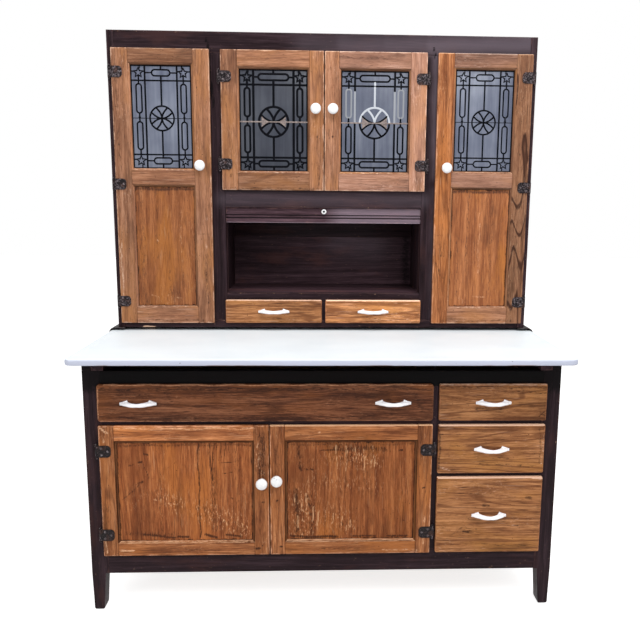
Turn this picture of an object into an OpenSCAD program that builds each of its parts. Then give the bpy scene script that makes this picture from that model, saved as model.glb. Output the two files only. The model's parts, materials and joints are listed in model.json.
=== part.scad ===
// Two part kitchen cabinet: a base with doors and drawers, a sliding enamelled worktop,
// and a shallower hutch with glazed doors and a roll front over an open niche.
// Millimetres, +Z up, front towards -Y, origin under the middle of the whole footprint.

/* [Cabinet] */
// Width of the base and of the hutch
cabinet_w = 1372; // [1320:1:1480]
// Depth of the base from its front frame to its back
base_depth = 690; // [670:1:760]
// Depth of the hutch
hutch_depth = 296; // [280:1:330]
// Thickness of the front frames
frame_t = 20; // [16:1:24]
// Thickness of drawer sides and of the partition in the base
board_t = 12; // [9:1:14]
// Thickness of the base's side panels and the hutch's partitions
wall_t = 14; // [10:1:18]
// Thickness of the board on top of the hutch
roof_t = 15; // [12:1:22]
// Thickness of shelves and floors
shelf_t = 12; // [9:1:15]
// Thickness of the thin back panels and drawer bottoms
thin_t = 6; // [4:1:8]
// Distance of the base's back panel from the back of its posts
back_inset = 8; // [4:1:20]

/* [Legs] */
// Height of the legs under the bottom rail
leg_h = 118; // [80:1:160]
// Width of a corner post, seen from the front
post_w = 50; // [49:1:58]
// Depth of a corner post
post_d = 44; // [36:1:52]
// Width of a leg where it leaves the bottom rail
leg_w = 40; // [36:1:48]
// Taper of the inner side of a leg
taper_in = 8; // [0:1:12]
// Taper of the outer side of a leg
taper_out = 3; // [0:1:6]
// Rounding of the foot
foot_round = 9; // [3:1:11]

/* [Base front] */
// Width of post that shows beside the base fronts
post_show = 41; // [36:1:41]
// Height of bottom rail that shows
base_rail_show = 60; // [40:1:90]
// Height of the base doors
base_door_h = 396; // [360:1:440]
// Height of rail that shows between two base fronts
rail_show = 12; // [10:1:20]
// Height of the wide drawer front
wide_drawer_h = 109; // [90:1:140]
// Height of top rail that shows above the drawers
top_show = 38; // [30:1:60]
// Width of the drawers in the bank on the right
bank_w = 314; // [280:1:360]
// Width of stile that shows between the doors and the bank
mullion_show = 17; // [14:1:30]
// Height of the middle drawer front in the bank
bank_middle_h = 148; // [110:1:180]
// Width of the left base door
left_door_w = 484; // [440:1:520]
// Gap between two doors that meet
door_seam = 3; // [2:0.5:5]

/* [Worktop] */
// How far the worktop stands out in front of the base
top_overhang = 73; // [40:1:100]
// How far the worktop stands out past each side
top_side = 27; // [22:1:35]
// Thickness of the worktop
top_t = 18; // [18:1:24]
// How far the worktop reaches in under the hutch
top_reach = 240; // [160:1:250]
// Rounding of the worktop's corners, seen from above
top_corner_r = 24; // [12:1:36]
// Rounding of the worktop's rolled edge
top_edge_r = 7; // [4:0.5:8]
// Thickness of the enamelled skin
skin_t = 1.5; // [1.2:0.1:2.5]
// Width of the rolled rim, outside the wooden core
rim_w = 9; // [9:1:14]
// Width of the battens under the worktop
batten_w = 34; // [24:1:40]
// Height of the battens under the worktop
batten_h = 30; // [20:1:40]
// Distance from the cabinet's side to a batten
batten_inset = 26; // [24:1:34]
// How far the battens reach in under the hutch
batten_reach = 150; // [100:1:200]

/* [Worktop tracks] */
// Thickness of the steel tracks that the worktop slides in
track_t = 2.4; // [1.5:0.1:3]
// Height left above the worktop for the tracks
hutch_gap = 10; // [8:1:16]
// Rounding of a track's outer shoulder
track_r = 18; // [16:1:20]
// How far the tracks reach in front of the hutch
track_front = 10; // [0:1:30]

/* [Hutch front] */
// Edge of the side panel that shows beside the hutch doors
side_show = 14; // [10:1:20]
// Width of the tall side doors
side_door_w = 307; // [280:1:320]
// Width of stile that shows between a side door and a centre door
stile_show = 35; // [34:1:45]
// Height of hutch bottom rail that shows
hutch_bottom_show = 16; // [12:1:24]
// Height of the small drawer fronts
small_drawer_h = 78; // [60:1:100]
// Width of post that shows between the small drawers
divider_show = 12; // [10:1:24]
// Height of rail between the small drawers and the niche
sill_show = 23; // [20:1:32]
// Height of the niche
niche_h = 282; // [250:1:310]
// Height of rail that shows between the niche and the centre doors
mid_show = 56; // [54:1:70]
// Height of the centre doors
center_door_h = 436; // [400:1:480]
// Height of top rail that shows over the doors
hutch_top_show = 55; // [40:1:70]
// How far the small drawers' fronts lap over the stiles
small_lip = 5; // [4:0.5:8]
// Bottom edge of the rear board of the niche, measured down from the niche's top
fascia_drop = 108; // [60:1:120]

/* [Doors and drawer fronts] */
// Thickness of doors and drawer fronts
front_t = 20; // [18:1:24]
// How far they stand out in front of the frame
front_proud = 12; // [10:1:13]
// How far their edges lap over the frame
lip = 8; // [6:1:9]
// Clearance between the lapped edge and the opening
lip_clear = 1.5; // [1:0.5:3]
// Width of the bevel round a door's panel or pane
mould_w = 6; // [3:1:8]
// Depth of the bevel round a door's panel or pane
mould_d = 6; // [3:1:7]
// How far panes and panels enter the door frame
rebate = 7; // [5:1:10]
// Thickness of the panes
glass_t = 3; // [2:0.5:4]
// Thickness of the door panels
door_panel_t = 6; // [5:0.5:7]
// Width of the stiles of the hutch doors
stile_w = 57; // [48:1:64]
// Width of the two stiles that meet in the centre of the hutch
meeting_w = 51; // [44:1:60]
// Top rail of the tall side doors
side_top_rail = 49; // [40:1:60]
// Middle rail of the tall side doors
side_mid_rail = 56; // [45:1:70]
// Bottom rail of the tall side doors
side_bottom_rail = 57; // [45:1:70]
// Height of the pane in the tall side doors
side_pane_h = 322; // [280:1:360]
// Top rail of the centre doors
center_top_rail = 57; // [45:1:70]
// Bottom rail of the centre doors
center_bottom_rail = 60; // [45:1:75]
// Width of the stiles of the base doors
low_stile = 48; // [40:1:60]
// Top rail of the base doors
low_top_rail = 50; // [40:1:65]
// Bottom rail of the base doors
low_bottom_rail = 43; // [36:1:60]

/* [Hinges] */
// Length of a hinge leaf on the door
leaf_l = 34; // [26:1:38]
// Height of a hinge leaf
leaf_h = 35; // [30:1:44]
// Thickness of a hinge leaf
leaf_t = 2; // [1.5:0.1:2.5]
// Radius of the hinge barrel
knuckle_r = 4.5; // [4:0.1:4.8]
// Radius of the hinge pin
pin_r = 2; // [1.6:0.1:2.4]
// Distance from a door's edge to its hinge pin
hinge_out = 7; // [7:0.5:8]
// Radius of the balls on the ends of a hinge pin
finial_r = 3.6; // [3:0.1:4.2]
// Top and bottom hinge of the tall side doors, from the door's ends
side_hinge_end = 73; // [50:1:110]
// Middle hinge of the tall side doors, above the door's bottom
side_hinge_mid = 454; // [380:1:500]
// Hinges of the centre doors, from the door's ends
center_hinge_end = 82; // [50:1:110]
// Upper hinge of the base doors, from the door's top
low_hinge_top = 75; // [50:1:110]
// Lower hinge of the base doors, from the door's bottom
low_hinge_bottom = 66; // [50:1:110]

/* [Knobs and pulls] */
// Diameter of the knobs
knob_d = 34; // [26:1:38]
// Length of the knobs
knob_l = 28; // [24:1:34]
// Side door knobs, from the door's edge
side_knob_x = 34; // [24:1:40]
// Side door knobs, above the door's bottom
side_knob_z = 515; // [400:1:600]
// Centre door knobs, from the door's edge
center_knob_x = 26; // [22:1:34]
// Centre door knobs, above the door's bottom
center_knob_z = 257; // [150:1:300]
// Base door knobs, from the door's edge
low_knob_x = 20; // [19:1:30]
// Knob of the left base door, above the door's bottom
low_left_knob_z = 226; // [150:1:300]
// Knob of the right base door, above the door's bottom
low_right_knob_z = 234; // [150:1:300]
// Length of the pulls
pull_l = 103; // [90:1:120]
// How far the pulls stand out
pull_out = 28; // [24:1:34]
// Height of the pulls
pull_h = 15; // [12:1:18]
// Thickness of a pull at its middle
pull_t = 7.5; // [6:0.5:9]
// Length of each foot of a pull
pull_foot = 20; // [16:1:24]
// Pulls of the wide drawer, from the drawer's ends
wide_pull_x = 117; // [90:1:200]

/* [Drawer boxes] */
// Depth of the base drawer boxes
drawer_depth = 560; // [450:1:600]
// Depth of the small drawer boxes
small_depth = 230; // [180:1:240]
// Clearance beside a drawer box
drawer_clear = 3; // [1:0.5:5]
// Height of the runners under the drawers
runner_h = 14; // [10:1:20]
// How far a runner reaches in under a drawer
runner_reach = 20; // [14:1:30]

/* [Inside] */
// Height of the base shelf above the base floor
base_shelf_up = 200; // [120:1:260]
// Distance of the base shelf behind the front
base_shelf_back = 150; // [40:1:300]
// Lower shelf of the side cupboards, above their floor
low_shelf_up = 247; // [180:1:320]
// Upper shelf of the side cupboards, above their floor
high_shelf_up = 457; // [400:1:480]
// Shelf of the centre cupboard, above its floor
center_shelf_up = 204; // [140:1:260]
// Distance of the shelves behind the front frame
shelf_back = 20; // [10:1:40]

/* [Roll front] */
// Height of the roll front's lead rail
lead_h = 49; // [44:1:60]
// Distance of the lead rail behind the face of the frame
lead_back = 7; // [4:1:12]
// Height of the space over the niche that hides the slats
roll_space = 16; // [14:1:20]
// Thickness of the niche's ceiling
ceiling_t = 8; // [6:1:10]
// Pitch of the slats
slat_pitch = 20; // [16:1:26]
// Thickness of the slats
slat_t = 8; // [6:0.5:9]
// Radius of the bend in the roll front's track
bend_r = 36; // [30:1:38]
// Diameter of the button on the lead rail
button_d = 17; // [12:1:22]

/* [Hidden] */
$fn = 48;

case_color = "#2b1c1d";
oak_color = "#8f5a35";
inside_color = "#6b4a33";
enamel_color = "#f1f3f5";
iron_color = "#2a2523";
glass_color = [0.55, 0.6, 0.66, 0.5];

// Gap between boards that butt, and between a closed front and its frame
joint_gap = 0.1;
seat_gap = 0.3;
// Side gaps of the worktop in its tracks, of slats in their guides and of their ends
track_gap = 0.6;
roll_gap = 0.7;
end_gap = 0.5;
// Running gaps of a hinge, round its pin and along its barrel
pin_gap = 0.08;
knuckle_gap = 0.2;

// Plan: half widths and the planes from front to back
half_w = cabinet_w / 2;
front_y = (top_overhang - base_depth) / 2;
back_y = front_y + base_depth;
hutch_y = back_y - hutch_depth;
back_face = back_y - thin_t;
frame_back = hutch_y + frame_t;
base_frame_back = front_y + frame_t;

// Base, from the floor up
low_z0 = leg_h + base_rail_show;
low_z1 = low_z0 + base_door_h;
wide_z0 = low_z1 + rail_show;
wide_z1 = wide_z0 + wide_drawer_h;
base_top = wide_z1 + top_show;
bank_mid_z0 = low_z1 - bank_middle_h;
bank_low_z1 = bank_mid_z0 - rail_show;
base_floor_z = low_z0 + lip;

// Base, from left to right
fronts_x0 = -half_w + post_show;
fronts_x1 = half_w - post_show;
bank_x0 = fronts_x1 - bank_w;
doors_x1 = bank_x0 - mullion_show;
left_door_x1 = fronts_x0 + left_door_w;
right_door_x0 = left_door_x1 + door_seam;
post_in = half_w - post_w;
panel_out = half_w - thin_t;
panel_in = panel_out - wall_t;
back_panel_y0 = back_y - back_inset - thin_t;
mullion_x0 = doors_x1 - lip;
mullion_x1 = bank_x0 + lip;
partition_x = (mullion_x0 + mullion_x1) / 2;

// Worktop and its tracks
top_z0 = base_top + batten_h;
track_z0 = top_z0 - seat_gap - track_t;
top_z1 = top_z0 + top_t;
top_half = half_w + top_side;
top_y0 = front_y - top_overhang;
top_y1 = hutch_y + top_reach;

// Hutch, from its foot up
hutch_z0 = top_z1 + hutch_gap;
small_z0 = hutch_z0 + hutch_bottom_show;
small_z1 = small_z0 + small_drawer_h;
niche_z0 = small_z1 + sill_show;
niche_z1 = niche_z0 + niche_h;
center_z0 = niche_z1 + mid_show;
center_z1 = center_z0 + center_door_h;
hutch_z1 = center_z1 + hutch_top_show;
hutch_floor_z = small_z0 + lip;
center_floor_z = center_z0 + lip;
doors_top_z = center_z1 - lip;
roof_z0 = hutch_z1 - roof_t;

// Hutch, from the centre out
side_t = side_show + lip;
side_in = half_w - side_t;
side_door_out = half_w - side_show;
side_door_in = side_door_out - side_door_w;
center_half = side_door_in - stile_show;
stile_out = side_door_in + lip;
stile_in = center_half - lip;
guide_t = 6;
wall_in = stile_in + guide_t;
wall_out = wall_in + wall_t;
small_half = stile_in + small_lip;

// Roll front: plane of the slats, bend and stored run
roll_y = frame_back + guide_t + slat_t / 2;
roll_half = slat_t / 2 + roll_gap;
ceiling_z0 = niche_z1 + roll_space;
ceiling_z1 = ceiling_z0 + ceiling_t;
center_board_z0 = center_floor_z - shelf_t;
run_z = (ceiling_z1 + center_board_z0) / 2;
bend_y = roll_y + bend_r;
bend_z = run_z - bend_r;
bend_len = bend_r * PI / 2;
run_end_y = back_face - wall_t;
roll_len = (bend_z - niche_z1) + bend_len + (run_end_y - bend_y);
slat_count = floor(roll_len / slat_pitch);

// Length of one of the three knuckles of a hinge
barrel_h = leaf_h / 3;

// Outline and solid helpers
function arc(center, r, a0, a1, n = 8) =
    [for (i = [0:n]) let (a = a0 + (a1 - a0) * i / n) center + r * [cos(a), sin(a)]];

module block(lo, hi) {
    translate(lo) cube([for (i = [0:2]) hi[i] - lo[i]]);
}

module paired() {
    children();
    mirror([1, 0, 0]) children();
}

module slab_xz(y0, y1) {
    translate([0, y1, 0]) rotate([90, 0, 0]) linear_extrude(y1 - y0) children();
}

module slab_yz(x0, x1) {
    translate([x0, 0, 0]) rotate([90, 0, 90]) linear_extrude(x1 - x0) children();
}

// Corner posts with tapered, rounded legs
module post(outer_x, y0) {
    inner_low = leg_w - taper_in;
    front_outline = concat(
        [[0, base_top], [0, leg_h]],
        arc([taper_out + foot_round, foot_round], foot_round, 180, 270),
        arc([inner_low - foot_round, foot_round], foot_round, 270, 360),
        [[leg_w, leg_h], [post_w, leg_h], [post_w, base_top]]
    );
    side_outline = concat(
        [[y0, base_top]],
        arc([y0 + foot_round, foot_round], foot_round, 180, 270),
        arc([y0 + post_d - foot_round, foot_round], foot_round, 270, 360),
        [[y0 + post_d, base_top]]
    );
    intersection() {
        slab_xz(y0, y0 + post_d) polygon([for (p = front_outline) [outer_x - p[0], p[1]]]);
        slab_yz(outer_x - post_w - 1, outer_x + 1) polygon(side_outline);
    }
}

module base_posts() {
    color(case_color)
    paired() {
        post(half_w, front_y);
        post(half_w, back_y - post_d);
    }
}

module base_panels() {
    color(case_color) {
        paired()
        block([panel_in, front_y + post_d + joint_gap, leg_h],
              [panel_out, back_y - post_d - joint_gap, base_top]);
        block([-post_in + joint_gap, back_panel_y0, leg_h],
              [post_in - joint_gap, back_y - back_inset, base_top]);
    }
}

// Front rail of the base between two heights
module base_rail(x0, x1, z0, z1) {
    block([x0 + joint_gap, front_y, z0], [x1 - joint_gap, base_frame_back, z1]);
}

module base_front_rails() {
    color(case_color) {
        base_rail(-post_in, post_in, leg_h, base_floor_z);
        base_rail(-post_in, post_in, wide_z1 - lip, base_top);
        base_rail(-post_in, mullion_x0, low_z1 - lip, wide_z0 + lip);
        base_rail(mullion_x1, post_in, low_z1 - lip, wide_z0 + lip);
        base_rail(mullion_x1, post_in, bank_low_z1 - lip, bank_mid_z0 + lip);
    }
}

module base_partition() {
    color(case_color) {
        block([mullion_x0, front_y, base_floor_z + joint_gap],
              [mullion_x1, base_frame_back, wide_z1 - lip - joint_gap]);
        block([partition_x - board_t / 2, base_frame_back + joint_gap, base_floor_z + joint_gap],
              [partition_x + board_t / 2, back_panel_y0 - joint_gap, base_top]);
    }
}

module base_floor_shelf() {
    shelf_z = base_floor_z + base_shelf_up;
    color(inside_color) {
        block([-post_in + joint_gap, base_frame_back + joint_gap, base_floor_z - shelf_t],
              [post_in - joint_gap, back_panel_y0 - joint_gap, base_floor_z]);
        block([-panel_in + joint_gap, front_y + base_shelf_back, shelf_z - shelf_t],
              [partition_x - board_t / 2 - joint_gap, back_y - post_d - joint_gap, shelf_z]);
    }
}

// Upper side rails carry the battens and lower ones the floor; the strips
// and the cross rail on top carry the tracks and close the back, and the
// guides in front of them keep the battens from moving sideways
module base_side_rails() {
    y0 = front_y + post_d + joint_gap;
    y1 = back_y - post_d - joint_gap;
    guide_in = half_w - batten_inset + track_gap;
    guide_y1 = hutch_y - track_front - joint_gap;
    color(case_color) {
        paired() {
            block([post_in, y0, wide_z1], [panel_in - joint_gap, y1, base_top]);
            block([post_in, y0, leg_h], [panel_in - joint_gap, y1, base_floor_z]);
            block([side_in, hutch_y, base_top + joint_gap], [half_w, back_y, track_z0]);
            block([guide_in, front_y, base_top + joint_gap], [half_w, guide_y1, track_z0]);
        }
        block([-side_in + joint_gap, back_y - frame_t, base_top + joint_gap],
              [side_in - joint_gap, back_y, track_z0]);
    }
}

// Strip that carries one side of a drawer box, from wall to reach
module runner(x0, x1, top_z) {
    block([min(x0, x1), base_frame_back + joint_gap, top_z - runner_h],
          [max(x0, x1), back_panel_y0 - joint_gap, top_z]);
}

module side_runner(s, reach_x, top_z) {
    wall = panel_in - joint_gap;
    y0 = front_y + post_d + joint_gap;
    y1 = back_y - post_d - joint_gap;
    block([min(s * wall, reach_x), y0, top_z - runner_h], [max(s * wall, reach_x), y1, top_z]);
}

module drawer_runners() {
    left_wall = partition_x - board_t / 2 - joint_gap;
    right_wall = partition_x + board_t / 2 + joint_gap;
    color(inside_color) {
        side_runner(-1, -post_in + runner_reach, wide_z0 + lip);
        runner(left_wall, mullion_x0 - runner_reach, wide_z0 + lip);
        for (z = [wide_z0 + lip, bank_mid_z0 + lip]) {
            runner(right_wall, mullion_x1 + runner_reach, z);
            side_runner(1, post_in - runner_reach, z);
        }
    }
}

module hutch_sides() {
    color(case_color)
    paired()
    block([side_in, hutch_y, hutch_z0], [half_w, back_y, hutch_z1]);
}

module hutch_top_bottom() {
    inner = side_in - joint_gap;
    color(case_color) {
        block([-inner, frame_back + joint_gap, roof_z0], [inner, back_y, hutch_z1]);
        block([-inner, frame_back + joint_gap, hutch_floor_z - shelf_t],
              [inner, back_face - joint_gap, hutch_floor_z]);
    }
}

module hutch_back() {
    color(case_color)
    block([-side_in + joint_gap, back_face, track_z0 + joint_gap],
          [side_in - joint_gap, back_y, roof_z0 - joint_gap]);
}

// Front rail of the hutch between two heights
module hutch_rail(x1, z0, z1) {
    block([-x1 + joint_gap, hutch_y, z0], [x1 - joint_gap, frame_back, z1]);
}

module hutch_face_frame() {
    color(case_color) {
        hutch_rail(side_in, doors_top_z, hutch_z1);
        hutch_rail(side_in, hutch_z0, hutch_floor_z);
        hutch_rail(stile_in, small_z1 - lip, niche_z0);
        hutch_rail(stile_in, niche_z1, center_floor_z);
        paired()
        block([stile_in, hutch_y, hutch_floor_z + joint_gap],
              [stile_out, frame_back, doors_top_z - joint_gap]);
        block([-divider_show / 2 - lip, hutch_y, hutch_floor_z + joint_gap],
              [divider_show / 2 + lip, frame_back, small_z1 - lip - joint_gap]);
    }
}

module hutch_partitions() {
    color(case_color)
    paired()
    block([wall_in, frame_back + joint_gap, hutch_floor_z + joint_gap],
          [wall_out, back_face - joint_gap, roof_z0 - joint_gap]);
}

// Board between the two partitions
module center_board(y0, y1, z0, z1, half) {
    block([-half + joint_gap, y0, z0], [half - joint_gap, y1, z1]);
}

module hutch_shelves() {
    y0 = frame_back + shelf_back;
    y1 = back_face - joint_gap;
    color(inside_color) {
        paired()
        for (up = [low_shelf_up, high_shelf_up])
            block([wall_out + joint_gap, y0, hutch_floor_z + up - shelf_t],
                  [side_in - joint_gap, y1, hutch_floor_z + up]);
        center_board(y0, y1, center_floor_z + center_shelf_up - shelf_t,
                     center_floor_z + center_shelf_up, wall_in);
        center_board(frame_back + joint_gap, y1, center_board_z0, center_floor_z, wall_in);
        center_board(frame_back + joint_gap, y1, niche_z0 - shelf_t, niche_z0, wall_in);
        center_board(bend_y, y1, ceiling_z0, ceiling_z1, stile_in);
        center_board(y1 - board_t, y1, niche_z1 - fascia_drop, ceiling_z0 - joint_gap, wall_in);
    }
}

// Guides for the ends of the slats: one outside the bend, one inside it
module outer_guide_outline() {
    difference() {
        translate([frame_back + joint_gap, niche_z0 + joint_gap])
        square([run_end_y - frame_back, center_board_z0 - niche_z0 - 2 * joint_gap]);
        translate([roll_y - roll_half, niche_z0 - 1])
        square([run_end_y - frame_back, bend_z - niche_z0 + 1]);
        translate([bend_y, bend_z - 1])
        square([run_end_y, bend_r + roll_half + 1]);
        translate([bend_y, bend_z]) circle(bend_r + roll_half);
    }
}

module inner_guide_outline() {
    inner_r = bend_r - roll_half;
    translate([roll_y + roll_half, niche_z0 + joint_gap])
    square([guide_t, bend_z - niche_z0]);
    intersection() {
        translate([bend_y, bend_z]) circle(inner_r);
        translate([bend_y - inner_r, bend_z]) square([inner_r, inner_r]);
    }
    translate([bend_y - 1, run_z - roll_half - guide_t])
    square([run_end_y - bend_y, guide_t]);
}

module tambour_tracks() {
    color(case_color)
    paired() {
        slab_yz(stile_in, wall_in - joint_gap) outer_guide_outline();
        slab_yz(stile_in, wall_in - joint_gap) inner_guide_outline();
    }
}

// Steel channel: a flange under the worktop's edge, a rounded
// shoulder beside it and a flange above it that carries the hutch
module track_outline() {
    out_x = top_half + track_gap + track_t;
    z0 = track_z0;
    shoulder = [out_x - track_r, hutch_z0 - track_r];
    outer = concat([[side_in, z0], [out_x, z0]], arc(shoulder, track_r, 0, 90), [[side_in, hutch_z0]]);
    inner = concat(
        [[side_in, hutch_z0 - track_t]],
        arc(shoulder, track_r - track_t, 90, 0),
        [[out_x - track_t, z0 + track_t], [side_in, z0 + track_t]]
    );
    polygon(concat(outer, inner));
}

module worktop_tracks() {
    color(iron_color)
    paired()
    slab_xz(hutch_y - track_front, back_y) track_outline();
}

// Worktop: enamelled skin with a rolled edge over a wooden core
module edge_disc(x, y) {
    low_r = 3;
    translate([x, y, top_z0])
    rotate_extrude($fn = 32)
    polygon(concat(
        [[0, 0], [top_corner_r - low_r, 0]],
        arc([top_corner_r - low_r, low_r], low_r, 270, 360, 3),
        arc([top_corner_r - top_edge_r, top_t - top_edge_r], top_edge_r, 0, 90, 6),
        [[0, top_t]]
    ));
}

module worktop_enamel() {
    x = top_half - top_corner_r;
    color(enamel_color)
    difference() {
        hull()
        for (sx = [-1, 1])
            for (y = [top_y0 + top_corner_r, top_y1 - top_corner_r])
                edge_disc(sx * x, y);
        block([-top_half + rim_w, top_y0 + rim_w, top_z0 - 1],
              [top_half - rim_w, top_y1 - rim_w, top_z1 - skin_t]);
    }
}

module worktop_core() {
    inset = rim_w + joint_gap;
    color(inside_color)
    block([-top_half + inset, top_y0 + inset, top_z0],
          [top_half - inset, top_y1 - inset, top_z1 - skin_t - joint_gap]);
}

module worktop_battens() {
    color(inside_color)
    paired()
    block([half_w - batten_inset - batten_w, front_y, base_top + seat_gap],
          [half_w - batten_inset, hutch_y + batten_reach, top_z0]);
}

// Roll front
module slat_outline() {
    seam = 0.8;
    flat = 1;
    w = slat_pitch - seam;
    r = slat_t / 2 - flat;
    polygon(concat(
        [[slat_t / 2, w / 2], [slat_t / 2, -w / 2]],
        arc([-slat_t / 2 + r, -w / 2 + r], r, 270, 180, 4),
        arc([-slat_t / 2 + r, w / 2 - r], r, 180, 90, 4)
    ));
}

// Place and turn of a slat whose middle is a given way along the track
function roll_place(s) =
    let (up = bend_z - niche_z1)
    s < up ? [roll_y, niche_z1 + s, 0]
    : s < up + bend_len
        ? let (a = (s - up) / bend_r * 180 / PI)
          [bend_y - bend_r * cos(a), bend_z + bend_r * sin(a), -a]
        : [bend_y + s - up - bend_len, run_z, -90];

module tambour_slats() {
    color(case_color)
    for (i = [0:slat_count - 1]) {
        p = roll_place((i + 0.5) * slat_pitch);
        translate([0, p[0], p[1]])
        rotate([p[2], 0, 0])
        slab_yz(-wall_in + end_gap, wall_in - end_gap) slat_outline();
    }
}

lead_z1 = niche_z1 - roll_gap;
lead_flat_h = 25;
lead_bead_z1 = lead_z1 - lead_flat_h;
lead_z0 = lead_z1 - lead_h;
lead_y0 = hutch_y + lead_back;
lead_y1 = roll_y + slat_t / 2;

// Flat upper part, a bead between two grooves and a lip along the lower edge
module lead_outline() {
    groove = 3;
    bead = 1.5;
    bead_h = 6;
    bead_z0 = lead_bead_z1 - bead_h;
    polygon([
        [lead_y1, lead_z1], [lead_y0, lead_z1],
        [lead_y0, lead_bead_z1 + groove], [lead_y0 + groove, lead_bead_z1 + groove],
        [lead_y0 + groove, lead_bead_z1], [lead_y0 + bead, lead_bead_z1],
        [lead_y0 + bead, bead_z0], [lead_y0 + groove, bead_z0],
        [lead_y0 + groove, bead_z0 - groove], [lead_y0, bead_z0 - 2 * groove],
        [lead_y0, lead_z0 + groove], [lead_y0 + groove, lead_z0],
        [lead_y1, lead_z0]
    ]);
}

module tambour_rail() {
    color(case_color) {
        slab_yz(-stile_in + end_gap, stile_in - end_gap) lead_outline();
        block([-wall_in + end_gap, roll_y - slat_t / 2, lead_z0],
              [wall_in - end_gap, lead_y1, lead_z1]);
    }
}

module tambour_button() {
    from_top = 11.5;
    color(enamel_color)
    translate([0, lead_y0 - joint_gap, lead_z1 - from_top])
    rotate([90, 0, 0])
    rotate_extrude()
    polygon(concat(
        [[0, 0], [button_d / 2, 0]],
        arc([button_d / 2 - 3, 2], 3, 0, 90, 5),
        [[3.5, 5], [2.8, 3], [0, 3]]
    ));
}

// Lipped slab: its front laps the frame and its rear enters the opening
module lipped_blank(x0, x1, z0, z1, face) {
    inset = lip + lip_clear;
    overlap = 2;
    block([x0, face - front_proud, z0], [x1, face - seat_gap, z1]);
    block([x0 + inset, face - seat_gap - overlap, z0 + inset],
          [x1 - inset, face + front_t - front_proud, z1 - inset]);
}

// Opening through a door frame with a bevel round its front edge
module window_cut(x0, x1, z0, z1, face) {
    y0 = face - front_proud;
    grow = mould_w * (1 + 1 / mould_d);
    block([x0, y0 - 1, z0], [x1, face + front_t, z1]);
    intersection() {
        translate([0, 0, z0 - grow])
        linear_extrude(z1 - z0 + 2 * grow)
        polygon([[x0 - grow, y0 - 1], [x1 + grow, y0 - 1], [x1, y0 + mould_d], [x0, y0 + mould_d]]);
        slab_yz(x0 - grow, x1 + grow)
        polygon([[y0 - 1, z0 - grow], [y0 - 1, z1 + grow], [y0 + mould_d, z1], [y0 + mould_d, z0]]);
    }
}

// Pane or panel, smaller all round than its groove by the gap
module infill(x0, x1, z0, z1, face, t, gap) {
    flat = 2;
    y0 = face - front_proud + mould_d + flat;
    block([x0 - rebate + gap, y0 + gap, z0 - rebate + gap],
          [x1 + rebate - gap, y0 + t - gap, z1 + rebate - gap]);
}

// Door frame of two stiles and rails; rails holds the lower and upper
// edge of each, and thick the infill thickness over each rail but the last
module door_frame(x0, x1, stiles, rails, face, thick) {
    n = len(rails);
    z0 = rails[0][0];
    z1 = rails[n - 1][1];
    xa = x0 + stiles[0];
    xb = x1 - stiles[1];
    boards = concat(
        [[x0, xa, z0, z1], [xb, x1, z0, z1]],
        [for (r = rails) [xa + joint_gap, xb - joint_gap, r[0], r[1]]]
    );
    color(oak_color)
    for (b = boards)
        difference() {
            intersection() {
                block([b[0], face - front_proud, b[2]], [b[1], face + front_t, b[3]]);
                lipped_blank(x0, x1, z0, z1, face);
            }
            for (i = [0:n - 2]) {
                window_cut(xa, xb, rails[i][1], rails[i + 1][0], face);
                infill(xa, xb, rails[i][1], rails[i + 1][0], face, thick[i], 0);
            }
        }
}

// Rails of the three kinds of door
side_pane_z0 = center_z1 - side_top_rail - side_pane_h;
side_rails = [
    [small_z0, small_z0 + side_bottom_rail],
    [side_pane_z0 - side_mid_rail, side_pane_z0],
    [center_z1 - side_top_rail, center_z1]
];
center_rails = [
    [center_z0, center_z0 + center_bottom_rail],
    [center_z1 - center_top_rail, center_z1]
];
low_rails = [
    [low_z0, low_z0 + low_bottom_rail],
    [low_z1 - low_top_rail, low_z1]
];

// Tall side door; s is -1 on the left and 1 on the right
module side_frame(s) {
    x0 = min(s * side_door_in, s * side_door_out);
    x1 = max(s * side_door_in, s * side_door_out);
    door_frame(x0, x1, [stile_w, stile_w], side_rails, hutch_y, [door_panel_t, glass_t]);
}

module side_infill(s, i, t) {
    x0 = min(s * side_door_in, s * side_door_out) + stile_w;
    x1 = max(s * side_door_in, s * side_door_out) - stile_w;
    infill(x0, x1, side_rails[i][1], side_rails[i + 1][0], hutch_y, t, joint_gap);
}

// Centre door; s is -1 on the left and 1 on the right
module center_frame(s) {
    near = s * door_seam / 2;
    far = s * center_half;
    stiles = s < 0 ? [stile_w, meeting_w] : [meeting_w, stile_w];
    door_frame(min(near, far), max(near, far), stiles, center_rails, hutch_y, [glass_t]);
}

module center_glass(s) {
    near = s * (door_seam / 2 + meeting_w);
    far = s * (center_half - stile_w);
    color(glass_color)
    infill(min(near, far), max(near, far), center_rails[0][1], center_rails[1][0],
           hutch_y, glass_t, joint_gap);
}

module low_panel(x0, x1) {
    color(oak_color)
    infill(x0 + low_stile, x1 - low_stile, low_rails[0][1], low_rails[1][0],
           front_y, door_panel_t, joint_gap);
}

// Hinge on a door's edge; s is -1 where the hinge is on the left edge.
// Local x runs from the edge over the door, local y = 0 is the door's face.
module hinge_place(edge_x, s, z, face) {
    translate([edge_x, face - front_proud, z])
    mirror([s > 0 ? 1 : 0, 0, 0])
    children();
}

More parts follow.
